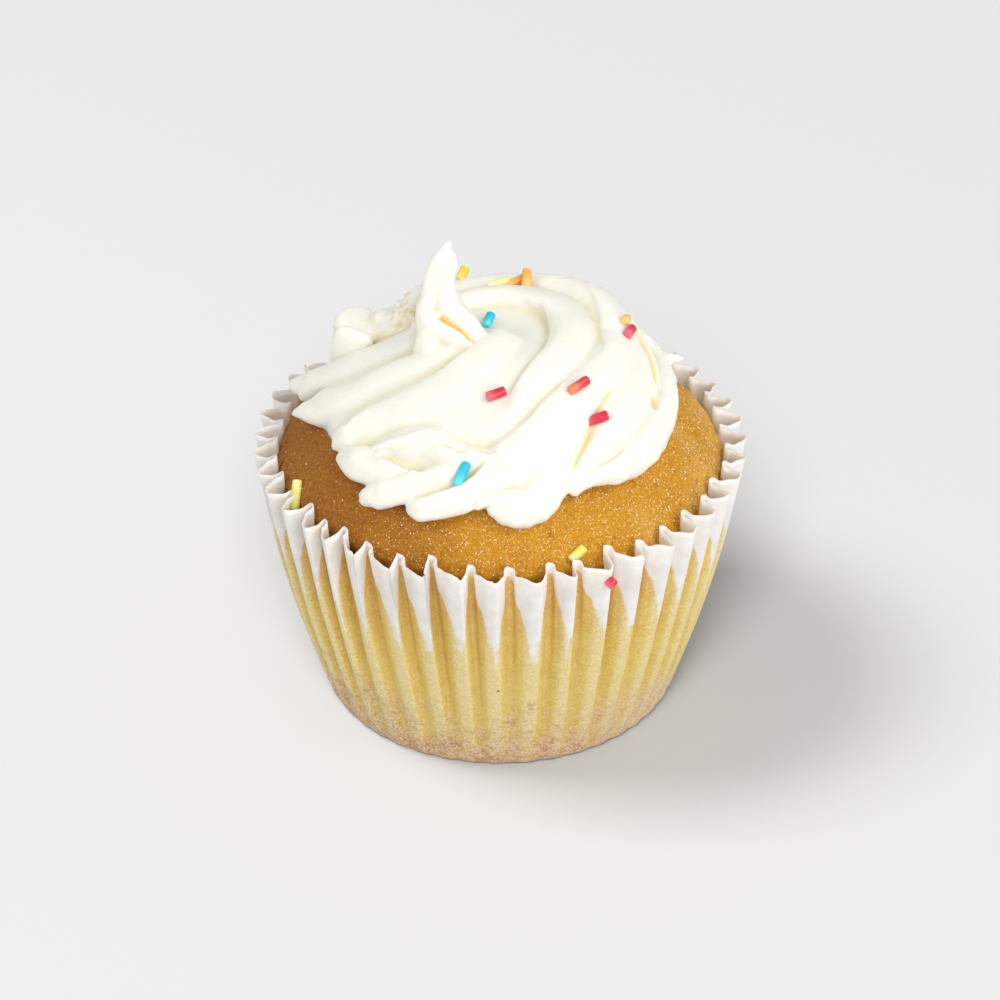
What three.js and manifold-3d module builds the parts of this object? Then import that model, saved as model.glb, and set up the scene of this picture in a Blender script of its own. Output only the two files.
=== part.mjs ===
// A cupcake: a sponge baked in a pleated paper case, with a swirl of piped cream and a few sugar
// sprinkles. Millimetres, +Z up. The origin is the middle of the flat bottom of the paper case.
import * as THREE from "three";
import { mergeVertices } from "three/addons/utils/BufferGeometryUtils.js";
import Module from "manifold-3d";

const wasm = await Module();
wasm.setup();

// ---- driving dimensions -------------------------------------------------------------------------

const GAP = 0.3; // clearance kept between two pieces that touch

// Paper case
const CASE_HEIGHT = 38.8;
const CASE_BASE_RADIUS = 25.4;
const CASE_RIM_RADIUS = 35; // to the outer folds
const CASE_BULGE = 0.95; // how far the wall swells at half height
const CASE_ROUNDING = 1.3; // where the wall turns into the flat bottom
const PAPER = 0.35;
const PLEATS = 43;
const PLEAT_START = -90.8; // degrees, azimuth of the first outer fold
const PLEAT_DEPTH_BASE = 0.6;
const PLEAT_DEPTH_RIM = 3.2;
const FOLD_CORNERS = [-0.14, 0.04, 0.24, 0.42]; // shares of a pleat: outer fold, then inner fold
const FOLD_WANDER = 0.08; // share of a pleat by which a fold strays
const FOLD_UNEVENNESS = 0.3; // share by which the depth of a fold varies
const RIM_UNEVENNESS = 0.45; // mm of the cut edge, up and down

// Sponge
const CAKE_EDGE_HEIGHT = 37;
const CAKE_TOP_HEIGHT = 49.5;
const CAKE_DOME_FULLNESS = 2.7;
const CAKE_SEGMENTS = 44;
const CAKE_UNEVENNESS = 0.45;

// Cream: a rope piped in one swirl, whose ridges leave their feet at the rim and run anticlockwise
const CREAM_CENTRE = new THREE.Vector2(-1.5, 0);
const PEAK_CENTRE = new THREE.Vector2(-7.6, 2);
const CREAM_REACH = 28.5;
const CREAM_FOOT_HEIGHT = 44;
const CREAM_CROWN_HEIGHT = 58.6;
const CREAM_FULLNESS = 2.5; // 2 is a round dome, 1 a cone, 4 a drum
const CREAM_FULLNESS_SWING = 1.1; // fuller on one side and leaner on the other
const CREAM_FULL_SIDE = 15; // degrees, the azimuth of the fullest side
const CREAM_CORE_REACH = 22.5;
const CREAM_VALLEY = 2.6; // from the ridges' crests down to the core
const CREAM_HOLLOW_DEPTH = 3.4; // the dip beside the peak
const CREAM_HOLLOW_RADIUS = 5.5;
const CREAM_HOLLOW_CENTRE = new THREE.Vector2(1.5, 3);
const RIDGE_SIDES = 12;
const RIDGE_STEP = 3.2; // mm of length for each ring of a ridge
const RIDGE_END_RINGS = 2; // in each domed end of a ridge

// foot, sweep: degrees. reach, loop, girth: mm. settle: degrees in which a ridge comes in from its
// reach to its loop round the centre. tip: share of the girth at the foot. pull: share by which
// its end moves to the peak. rise: mm that its end lies above the dome of the others.
const RIDGES = {
  leftFin: { foot: 161, sweep: 38, reach: 27.6, loop: 2, settle: 60, girth: 3.1, tip: 0.5, pull: 1 },
  leftLeaf: { foot: 179, sweep: 48, reach: 27.6, loop: 2, settle: 62, girth: 3.4, tip: 0.4, pull: 1 },
  innerFan: { foot: -155, sweep: 110, reach: 21.5, loop: 3.5, settle: 85, girth: 4, pull: 1 },
  hollowRim: { foot: -150, sweep: 215, reach: 21, loop: 9.6, settle: 95, girth: 4, pull: 0.3, rise: -2 },
  crownCoil: { foot: -141, sweep: 300, reach: 25.6, loop: 13.4, settle: 120, girth: 4.1, pull: 0.6 },
  shortFoot: { foot: -125, sweep: 56, reach: 25.6, loop: 19.5, settle: 90, girth: 3.2, rise: -1.5 },
  frontCoil: { foot: -112, sweep: 262, reach: 26.5, loop: 18, settle: 80, girth: 4 },
  frontLobe: { foot: -84, sweep: 230, reach: 25.2, loop: 20.8, settle: 45, girth: 3.9, tip: 0.9 },
  outerCoil: { foot: -56, sweep: 206, reach: 24, loop: 23.8, settle: 45, girth: 3.8, tip: 0.85, rise: 4 },
};

// Drawn-out cream, from its root to its tip: the two leaning ridges of the peak, left where the
// nozzle was lifted off, and a small flick at the edge.
const WISPS = {
  tallPeak: {
    points: [[-12, 0.6, 52], [-10.4, 1.3, 58], [-9.3, 1.7, 64], [-7.7, 2, 70.6]],
    girths: [3, 2.3, 1.7, 0.5],
  },
  lowPeak: {
    points: [[-2.4, -0.6, 54], [-5, 0.5, 56.8], [-6.6, 1.2, 61], [-7, 1.8, 67.2]],
    girths: [2.6, 2.1, 1.7, 0.5],
  },
  edgeFlick: {
    points: [[20.5, 4.5, 49.4], [22.8, 4.8, 48.9], [25, 5, 48.5]],
    girths: [1.4, 1, 0.3],
  },
};

// Sugar sprinkles: short rods. Those on top are placed in plan, x and y in mm, and the one stuck to
// the paper by azimuth and height. heading: degrees. tip: degrees that one end stands up.
const SPRINKLE_RADIUS = 0.7;
const SPRINKLE_LENGTH = 3.6;
const SPRINKLE_SUNK = 0.45; // share of its radius below the surface that it lies on
const SPRINKLE_SIDES = 6;
const CREAM_SPRINKLES = [
  { x: -1.7, y: 2.6, heading: 70, tip: 25, length: 2.2 },
  { x: -5.3, y: -23.7, heading: 66, tip: 0 },
  { x: -0.5, y: -14, heading: 23, tip: 0, length: 2.6 },
  { x: 10.7, y: -13, heading: 44, tip: 10, length: 3.4 },
  { x: 13.2, y: -16.3, heading: 33, tip: 0 },
  { x: 18, y: 2.7, heading: 67, tip: 0, length: 2.4 },
  { x: -5.2, y: 13.4, heading: 20, tip: 0, length: 3 },
  { x: -0.2, y: 13.8, heading: 20, tip: 0, length: 3.4 },
  { x: 2, y: 15, heading: 25, tip: 0 },
  { x: 3.6, y: 13.2, heading: 100, tip: 75, length: 3.2 },
];
const CAKE_SPRINKLES = [
  { x: -26, y: -12.8, heading: -95, tip: 0, length: 3.4 },
  { x: 10.3, y: -27.1, heading: 34, tip: 0, length: 3 },
];
const CASE_SPRINKLES = [{ azimuth: -61.8, height: 34.1, heading: 35, tip: 0, length: 2 }];
const BACK_SPRINKLES = 6; // on the far slope of the cream, spread by a seeded draw
const BACK_SPRINKLE_SEED = 7;
const BACK_SPRINKLE_SPREAD = [56, 124]; // degrees
const BACK_SPRINKLE_REACH = [0.9, 0.94]; // shares of the cream's reach

// ---- helpers ------------------------------------------------------------------------------------

const { clamp, degToRad, lerp, smoothstep } = THREE.MathUtils;

/** A repeatable draw between -1 and 1 for item `index` of the draw numbered `series`. */
function draw(index, series) {
  const wave = Math.sin(index * 12.9898 + series * 78.233) * 43758.5453;
  return 2 * (wave - Math.floor(wave)) - 1;
}

function solidOf(geometry) {
  geometry.deleteAttribute("normal");
  geometry.deleteAttribute("uv");
  const merged = mergeVertices(geometry, 1e-4);
  return new wasm.Manifold(
    new wasm.Mesh({
      numProp: 3,
      vertProperties: new Float32Array(merged.attributes.position.array),
      triVerts: new Uint32Array(merged.index.array),
    }),
  );
}

function geometryOf(solid) {
  const mesh = solid.getMesh();
  const positions = new Float32Array(mesh.numVert * 3);
  for (let i = 0; i < mesh.numVert; i++) {
    const start = i * mesh.numProp;
    positions.set(mesh.vertProperties.subarray(start, start + 3), i * 3);
  }
  const geometry = new THREE.BufferGeometry();
  geometry.setAttribute("position", new THREE.BufferAttribute(positions, 3));
  geometry.setIndex(new THREE.BufferAttribute(new Uint32Array(mesh.triVerts), 1));
  geometry.computeVertexNormals();
  return geometry;
}

/** The largest body of a solid: a cut can leave loose scraps. */
function largestBody(solid) {
  return solid.decompose().reduce((best, body) => (body.volume() > best.volume() ? body : best));
}

/** A turned solid about +Z, with each vertex then moved by shape(point, column, row). */
function turned(profile, segments, shape) {
  const geometry = new THREE.LatheGeometry(profile, segments);
  geometry.rotateX(Math.PI / 2);
  const position = geometry.attributes.position;
  const point = new THREE.Vector3();
  for (let i = 0; i < position.count; i++) {
    const column = Math.floor(i / profile.length) % segments;
    point.fromBufferAttribute(position, i);
    shape(point, column, i % profile.length);
    position.setXYZ(i, point.x, point.y, point.z);
  }
  return geometry;
}

function setPolar(point, radius, azimuth) {
  point.x = radius * Math.cos(azimuth);
  point.y = radius * Math.sin(azimuth);
}

// ---- paper case ---------------------------------------------------------------------------------

/** Radius of the case's outer folds at a height. */
function caseRadius(z) {
  const share = z / CASE_HEIGHT;
  const wall = lerp(CASE_BASE_RADIUS, CASE_RIM_RADIUS, share) + CASE_BULGE * Math.sin(Math.PI * share);
  const below = Math.max(0, CASE_ROUNDING - z);
  return wall - CASE_ROUNDING + Math.sqrt(Math.max(0, CASE_ROUNDING ** 2 - below ** 2));
}

function pleatDepth(z) {
  return lerp(PLEAT_DEPTH_BASE, PLEAT_DEPTH_RIM, Math.max(0, z / CASE_HEIGHT) ** 1.3);
}

/** The case's inner folds at their deepest, less the paper: what is inside stays within this. */
function roomInCase(z) {
  return caseRadius(z) - pleatDepth(z) * (1 + FOLD_UNEVENNESS / 2) - PAPER;
}

function paperCase() {
  const rows = [0, 0.25, CASE_ROUNDING, 0.36 * CASE_HEIGHT, 0.7 * CASE_HEIGHT, CASE_HEIGHT];
  const outside = rows.map((z) => new THREE.Vector2(caseRadius(z), z));
  const inside = outside.slice(1).reverse();
  const insideRows = inside.map((p) => new THREE.Vector2(p.x - PAPER, Math.max(p.y, PAPER)));
  const profile = [new THREE.Vector2(0, 0), ...outside, ...insideRows, new THREE.Vector2(0, PAPER)];
  const corners = FOLD_CORNERS.length;
  return turned(profile, PLEATS * corners, (point, column) => {
    const radius = Math.hypot(point.x, point.y);
    if (radius < PAPER) return; // the middle of the flat bottom
    const pleat = Math.floor(column / corners);
    const corner = column % corners;
    const isInner = corner > 1;
    const stray = FOLD_WANDER * draw(pleat, isInner ? 2 : 1);
    const azimuth = degToRad(PLEAT_START + ((pleat + FOLD_CORNERS[corner] + stray) * 360) / PLEATS);
    const rimShare = (point.z / CASE_HEIGHT) ** 2;
    const uneven = 1 + (FOLD_UNEVENNESS / 2) * draw(pleat, isInner ? 4 : 3);
    const depth = pleatDepth(point.z) * (isInner ? uneven : (1 - uneven) * rimShare);
    setPolar(point, radius - depth, azimuth);
    point.z += RIM_UNEVENNESS * rimShare * rimShare * draw(pleat, isInner ? 6 : 5);
  });
}

// ---- sponge -------------------------------------------------------------------------------------

/** The sponge, swollen on its top by `extra`: baked in the case, with a low domed crust. */
function sponge(extra) {
  const floor = PAPER + GAP;
  const sideHeights = [floor, CASE_ROUNDING + floor, 0.36 * CASE_HEIGHT, 0.7 * CASE_HEIGHT];
  const side = sideHeights.map((z) => new THREE.Vector2(roomInCase(z) - GAP, z));
  const edge = roomInCase(CASE_HEIGHT) - GAP;
  const domeShares = [1, 0.985, 0.95, 0.88, 0.76, 0.6, 0.4, 0.2, 0];
  const dome = domeShares.map((share) => {
    const rise = (1 - share ** CAKE_DOME_FULLNESS) ** 0.8;
    return new THREE.Vector2(edge * share, lerp(CAKE_EDGE_HEIGHT, CAKE_TOP_HEIGHT, rise) + extra);
  });
  const profile = [new THREE.Vector2(0, floor), ...side, ...dome];
  return turned(profile, CAKE_SEGMENTS, (point) => {
    if (point.z < CAKE_EDGE_HEIGHT) return;
    const azimuth = Math.atan2(point.y, point.x);
    const share = Math.hypot(point.x, point.y) / edge;
    const wave = Math.sin(2 * azimuth + 0.7) + 0.6 * Math.sin(5 * azimuth + 2) * share;
    point.z += CAKE_UNEVENNESS * wave * share * share;
  });
}

// ---- cream --------------------------------------------------------------------------------------

/** Height of the ridges' crests at a place in plan. */
function crestHeight(x, y) {
  const dx = x - CREAM_CENTRE.x;
  const dy = y - CREAM_CENTRE.y;
  const share = Math.min(1.15, Math.hypot(dx, dy) / CREAM_REACH);
  const swing = Math.cos(Math.atan2(dy, dx) - degToRad(CREAM_FULL_SIDE));
  const fullness = CREAM_FULLNESS + CREAM_FULLNESS_SWING * swing;
  return lerp(CREAM_CROWN_HEIGHT, CREAM_FOOT_HEIGHT, share ** fullness);
}

/** A round rope along a curve, with a girth that varies from 0 to 1 along it and domed ends. */
function rope(curve, girthAt) {
  const body = Math.ceil(curve.getLength() / RIDGE_STEP);
  const steps = body + 2 * RIDGE_END_RINGS;
  const frames = curve.computeFrenetFrames(body, false);
  const geometry = new THREE.CylinderGeometry(1, 1, 1, RIDGE_SIDES, steps, false);
  const position = geometry.attributes.position;
  const point = new THREE.Vector3();
  for (let i = 0; i < position.count; i++) {
    const row = Math.round((position.getY(i) + 0.5) * steps) - RIDGE_END_RINGS;
    const ring = clamp(row, 0, body);
    const girth = girthAt(ring / body);
    const dome = ((row - ring) / (RIDGE_END_RINGS + 0.5)) * (Math.PI / 2);
    const width = girth * Math.cos(dome);
    curve.getPointAt(ring / body, point);
    point.addScaledVector(frames.normals[ring], position.getZ(i) * width);
    point.addScaledVector(frames.binormals[ring], position.getX(i) * width);
    point.addScaledVector(frames.tangents[ring], girth * Math.sin(dome));
    position.setXYZ(i, point.x, point.y, point.z);
  }
  return solidOf(geometry);
}

/** One ridge of the swirl: in from its foot, then round the centre towards the peak. */
function ridge({ foot, sweep, reach, loop, settle, girth, tip = 0.65, pull = 0, rise = 0 }) {
  const girthAt = (t) => {
    const swell = lerp(tip, 1, smoothstep(t, 0, 0.25));
    return girth * swell * (1 - 0.25 * smoothstep(t, 0.7, 1));
  };
  const points = [];
  const count = 40;
  for (let i = 0; i <= count; i++) {
    const t = i / count;
    const azimuth = degToRad(foot + sweep * t);
    const coming = Math.max(0, 1 - (sweep * t) / settle) ** 2;
    const radius = loop + (reach - loop) * coming;
    const centre = CREAM_CENTRE.clone().lerp(PEAK_CENTRE, pull * t * t);
    const x = centre.x + radius * Math.cos(azimuth);
    const y = centre.y + radius * Math.sin(azimuth);
    const z = crestHeight(x, y) - 0.92 * girthAt(t) + rise * t ** 4;
    points.push(new THREE.Vector3(x, y, z));
  }
  return rope(new THREE.CatmullRomCurve3(points), girthAt);
}

/** A wisp of cream through its points, with a girth at each. */
function wisp({ points, girths }) {
  const curve = new THREE.CatmullRomCurve3(points.map((p) => new THREE.Vector3(...p)));
  const last = girths.length - 1;
  return rope(curve, (t) => {
    const place = Math.min(last - 1e-6, t * last);
    const i = Math.floor(place);
    return lerp(girths[i], girths[i + 1], place - i);
  });
}

/** The body of cream under the ridges, a valley's depth below their crests. */
function creamCore() {
  const shares = [1, 0.97, 0.88, 0.75, 0.6, 0.42, 0.22, 0];
  const bottom = CAKE_EDGE_HEIGHT;
  const profile = [new THREE.Vector2(0, bottom), ...shares.map((s) => new THREE.Vector2(s, bottom + 1))];
  return turned(profile, 32, (point, column, row) => {
    point.x = CREAM_CENTRE.x + point.x * CREAM_CORE_REACH;
    point.y = CREAM_CENTRE.y + point.y * CREAM_CORE_REACH;
    if (row === 0) return;
    const away = CREAM_HOLLOW_CENTRE.distanceTo(new THREE.Vector2(point.x, point.y));
    const hollow = CREAM_HOLLOW_DEPTH * Math.exp(-((away / CREAM_HOLLOW_RADIUS) ** 2));
    point.z = crestHeight(point.x, point.y) - CREAM_VALLEY - hollow;
  });
}

// ---- sprinkles ----------------------------------------------------------------------------------

/** Where a sprinkle meets a surface, seen from above or, for one on the wall, from the side. */
function seatOf(surface, { x, y, azimuth, height }) {
  const from = new THREE.Vector3(x, y, 2 * CREAM_CROWN_HEIGHT);
  const towards = new THREE.Vector3(0, 0, -1);
  if (azimuth !== undefined) {
    const outward = new THREE.Vector3(Math.cos(degToRad(azimuth)), Math.sin(degToRad(azimuth)), 0);
    from.copy(outward).multiplyScalar(2 * CASE_RIM_RADIUS).setZ(height);
    towards.copy(outward).negate();
  }
  return new THREE.Raycaster(from, towards).intersectObject(surface)[0];
}

/** The direction of a rod on a surface: its heading, laid into the surface and tipped out of it. */
function rodDirection(normal, { azimuth, heading, tip }) {
  const turn = degToRad(heading);
  const along = new THREE.Vector3(Math.cos(turn), Math.sin(turn), 0);
  if (azimuth !== undefined) {
    const up = new THREE.Vector3(0, 0, 1);
    along.set(0, Math.cos(turn), Math.sin(turn)).applyAxisAngle(up, degToRad(azimuth));
  }
  along.projectOnPlane(normal).normalize();
  return along.applyAxisAngle(along.clone().cross(normal).normalize(), degToRad(tip));
}

/** Puts sprinkles on a solid and joins them to it. */
function withSprinkles(solid, sprinkles) {
  const skin = new THREE.MeshBasicMaterial({ side: THREE.DoubleSide });
  const surface = new THREE.Mesh(geometryOf(solid), skin);
  return sprinkles.reduce((joined, sprinkle) => {
    const { length = SPRINKLE_LENGTH, tip } = sprinkle;
    const hit = seatOf(surface, sprinkle);
    const along = rodDirection(hit.face.normal, sprinkle);
    const rod = new THREE.CylinderGeometry(SPRINKLE_RADIUS, SPRINKLE_RADIUS, length, SPRINKLE_SIDES);
    rod.applyQuaternion(new THREE.Quaternion().setFromUnitVectors(new THREE.Vector3(0, 1, 0), along));
    const standing = (length / 2 - SPRINKLE_RADIUS) * Math.sin(degToRad(tip));
    const lift = SPRINKLE_RADIUS * (1 - SPRINKLE_SUNK) + standing;
    const middle = hit.point.addScaledVector(hit.face.normal, lift);
    rod.translate(middle.x, middle.y, middle.z);
    return joined.add(solidOf(rod));
  }, solid);
}

/** Sprinkles that fell on the far side of the swirl. */
function backSprinkles() {
  return Array.from({ length: BACK_SPRINKLES }, (_, i) => {
    const place = (i + 0.5 + 0.4 * draw(i, BACK_SPRINKLE_SEED)) / BACK_SPRINKLES;
    const azimuth = degToRad(lerp(...BACK_SPRINKLE_SPREAD, place));
    const reach = CREAM_REACH * lerp(...BACK_SPRINKLE_REACH, 0.5 + 0.5 * draw(i, BACK_SPRINKLE_SEED + 1));
    return {
      x: CREAM_CENTRE.x + reach * Math.cos(azimuth),
      y: CREAM_CENTRE.y + reach * Math.sin(azimuth),
      heading: 180 * draw(i, BACK_SPRINKLE_SEED + 2),
      tip: 0,
    };
  });
}

// ---- assembly -----------------------------------------------------------------------------------

function cream() {
  let solid = solidOf(creamCore());
  for (const each of Object.values(RIDGES)) solid = solid.add(ridge(each));
  for (const each of Object.values(WISPS)) solid = solid.add(wisp(each));
  solid = largestBody(solid.subtract(solidOf(sponge(GAP))));
  return withSprinkles(solid, [...CREAM_SPRINKLES, ...backSprinkles()]);
}

function piece(name, solid, colour, roughness) {
  const material = new THREE.MeshStandardMaterial({ color: colour, roughness, metalness: 0 });
  const mesh = new THREE.Mesh(geometryOf(solid), material);
  mesh.name = name;
  return mesh;
}

const cupcake = new THREE.Group();
const paper = withSprinkles(solidOf(paperCase()), CASE_SPRINKLES);
const crumb = withSprinkles(solidOf(sponge(0)), CAKE_SPRINKLES);
cupcake.add(piece("paper_case", paper, 0xe9dfc8, 0.75));
cupcake.add(piece("cake", crumb, 0xcf9434, 0.8));
cupcake.add(piece("cream", cream(), 0xf6f5ee, 0.45));

export default cupcake;
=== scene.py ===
"""A cupcake: a sponge in a pleated paper case, with a swirl of piped cream and sugar sprinkles.

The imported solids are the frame. Each of them is replaced here by a fine piece of its own: the thin
folded paper, the crumbed crust and the smooth swirl. Sizes are millimetres until a piece is finished.
"""

from __future__ import annotations

import logging
import math
from dataclasses import dataclass, field
from enum import Enum
from typing import Callable, Sequence

import bmesh
import bpy
import numpy as np
from mathutils import Matrix, Quaternion, Vector, noise
from mathutils.bvhtree import BVHTree
from mathutils.kdtree import KDTree

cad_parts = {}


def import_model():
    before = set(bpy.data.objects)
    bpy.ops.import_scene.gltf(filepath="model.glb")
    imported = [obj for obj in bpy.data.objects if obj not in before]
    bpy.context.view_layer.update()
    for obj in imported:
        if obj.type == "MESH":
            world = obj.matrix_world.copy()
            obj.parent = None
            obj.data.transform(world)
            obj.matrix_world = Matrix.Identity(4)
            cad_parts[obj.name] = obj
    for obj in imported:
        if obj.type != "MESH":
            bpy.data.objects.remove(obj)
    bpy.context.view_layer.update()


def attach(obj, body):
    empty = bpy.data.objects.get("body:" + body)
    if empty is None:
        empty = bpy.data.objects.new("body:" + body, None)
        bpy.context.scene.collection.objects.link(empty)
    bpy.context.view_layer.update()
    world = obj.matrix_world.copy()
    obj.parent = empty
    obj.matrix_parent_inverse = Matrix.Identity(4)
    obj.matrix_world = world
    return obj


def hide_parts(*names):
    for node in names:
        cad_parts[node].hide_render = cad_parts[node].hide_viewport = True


MM = 0.001
BODY = "root"
LOG = logging.getLogger("cupcake")


# ---- small tools ---------------------------------------------------------------------------------


def lerp(start: float, end: float, share: float) -> float:
    """Return the value a share of the way from start to end."""
    return start + (end - start) * share


def smoothstep(value: float, low: float, high: float) -> float:
    """Return 0 below low, 1 above high and a smooth rise between."""
    share = min(1.0, max(0.0, (value - low) / (high - low)))
    return share * share * (3.0 - 2.0 * share)


def draw(index: int, series: int) -> float:
    """Return a repeatable draw between -1 and 1.

    Args:
        index: the item that the draw is for.
        series: the number of the draw.

    Returns:
        The same value each time for the same index and series.
    """
    wave = math.sin(index * 12.9898 + series * 78.233) * 43758.5453
    return 2.0 * (wave - math.floor(wave)) - 1.0


def colour(code: str) -> tuple[float, float, float, float]:
    """Return the linear colour of a six-digit sRGB code.

    Args:
        code: the code, such as ffffff for white.

    Returns:
        Red, green, blue and an alpha of 1.
    """
    parts = [int(code[i : i + 2], 16) / 255.0 for i in (0, 2, 4)]
    linear = [p / 12.92 if p <= 0.04045 else ((p + 0.055) / 1.055) ** 2.4 for p in parts]
    return (linear[0], linear[1], linear[2], 1.0)


def along_knots(knots: Sequence[Vector], pieces: int) -> list[Vector]:
    """Return points along a smooth curve through some knots.

    Args:
        knots: the points that it goes through.
        pieces: how many steps it takes from one knot to the next.

    Returns:
        The points, both ends among them.
    """
    last = len(knots) - 1
    points = []
    for i in range(last * pieces + 1):
        k = min(last - 1, i // pieces)
        t = i / pieces - k
        before, a, b, after = (knots[max(0, min(last, k + n))] for n in (-1, 0, 1, 2))
        bend = 2 * before - 5 * a + 4 * b - after
        twist = 3 * a - before - 3 * b + after
        points.append(0.5 * (2 * a + (b - before) * t + bend * t**2 + twist * t**3))
    return points


def polar(radius: float, azimuth: float, height: float) -> Vector:
    """Return the point at a radius, an azimuth in degrees and a height."""
    turn = math.radians(azimuth)
    return Vector((radius * math.cos(turn), radius * math.sin(turn), height))


def turned(outline: list[Vector], columns: int) -> bmesh.types.BMesh:
    """Turn an outline round the upright axis, and close it where it meets the axis.

    Args:
        outline: its points, each with a radius as x and a height as z.
        columns: how many columns of faces the shape has.

    Returns:
        The shape, with its faces pointing outwards.
    """
    shape = bmesh.new()
    bmesh.ops.create_cone(shape, cap_ends=False, segments=columns, radius1=1.0, radius2=1.0, depth=1.0)
    upright = [e for e in shape.edges if abs(e.verts[0].co.z - e.verts[1].co.z) > 0.5]
    bmesh.ops.subdivide_edges(shape, edges=upright, cuts=len(outline) - 2, use_grid_fill=True)
    rows = len(outline) - 1
    for vert in shape.verts:
        point = outline[round((vert.co.z + 0.5) * rows)]
        vert.co = Vector((vert.co.x * point.x, vert.co.y * point.x, point.z))
    bmesh.ops.remove_doubles(shape, verts=shape.verts, dist=1e-4)
    bmesh.ops.recalc_face_normals(shape, faces=shape.faces)
    shape.normal_update()
    return shape


def joined(parts: Sequence[bmesh.types.BMesh]) -> bmesh.types.BMesh:
    """Join shapes into one.

    Args:
        parts: the shapes, which are freed.

    Returns:
        One shape, with the layers of the first.
    """
    whole = bmesh.new()
    for part in parts:
        mesh = bpy.data.meshes.new("part")
        part.to_mesh(mesh)
        part.free()
        whole.from_mesh(mesh)
        bpy.data.meshes.remove(mesh)
    return whole


def surface_of(piece: bpy.types.Object) -> BVHTree:
    """Return a piece's surface, in metres, for seating other pieces on it.

    Args:
        piece: the piece, at the origin.

    Returns:
        The tree of its faces.
    """
    shape = bmesh.new()
    shape.from_mesh(piece.data)
    tree = BVHTree.FromBMesh(shape)
    shape.free()
    return tree


def finished(name: str, shape: bmesh.types.BMesh) -> bpy.types.Object:
    """Turn a shape in millimetres into a smooth-shaded object in metres.

    Args:
        name: the piece's name.
        shape: its bmesh, which is freed.

    Returns:
        The object, at the origin, linked to the scene.
    """
    bmesh.ops.scale(shape, vec=(MM, MM, MM), verts=shape.verts)
    mesh = bpy.data.meshes.new(name)
    shape.to_mesh(mesh)
    shape.free()
    mesh.polygons.foreach_set("use_smooth", [True] * len(mesh.polygons))
    piece = bpy.data.objects.new(name, mesh)
    bpy.context.scene.collection.objects.link(piece)
    return piece


def baked(piece: bpy.types.Object) -> bpy.types.Object:
    """Apply every modifier of a piece to its mesh.

    Args:
        piece: the piece, whose modifiers are cleared.

    Returns:
        The same piece.
    """
    depsgraph = bpy.context.evaluated_depsgraph_get()
    mesh = bpy.data.meshes.new_from_object(piece.evaluated_get(depsgraph))
    piece.modifiers.clear()
    piece.data = mesh
    return piece


def store(piece: bpy.types.Object, name: str, values: Sequence[float]) -> None:
    """Store one number a vertex as a named attribute of a piece."""
    layer = piece.data.attributes.new(name, "FLOAT", "POINT")
    layer.data.foreach_set("value", np.asarray(values, np.float32))


def hollowness(mesh: bpy.types.Mesh, passes: int) -> np.ndarray:
    """Measure how far each vertex lies in a hollow.

    Args:
        mesh: a mesh in metres.
        passes: how often the surface that it is set against is smoothed.

    Returns:
        For each vertex, the millimetres out to that smoother surface; below 0 on a crest.
    """
    count = len(mesh.vertices)
    places = np.empty(count * 3)
    normals = np.empty(count * 3)
    mesh.vertices.foreach_get("co", places)
    mesh.vertices.foreach_get("normal", normals)
    ends = np.empty(len(mesh.edges) * 2, np.int64)
    mesh.edges.foreach_get("vertices", ends)
    first, second = ends.reshape(-1, 2).T
    places = places.reshape(-1, 3) / MM
    neighbours = np.bincount(ends, minlength=count)
    smooth = places.copy()
    for _ in range(passes):
        columns = [
            np.bincount(first, column[second], count) + np.bincount(second, column[first], count)
            for column in smooth.T
        ]
        smooth = np.stack(columns, axis=1) / neighbours[:, None]
    return ((smooth - places) * normals.reshape(-1, 3)).sum(axis=1)


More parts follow.
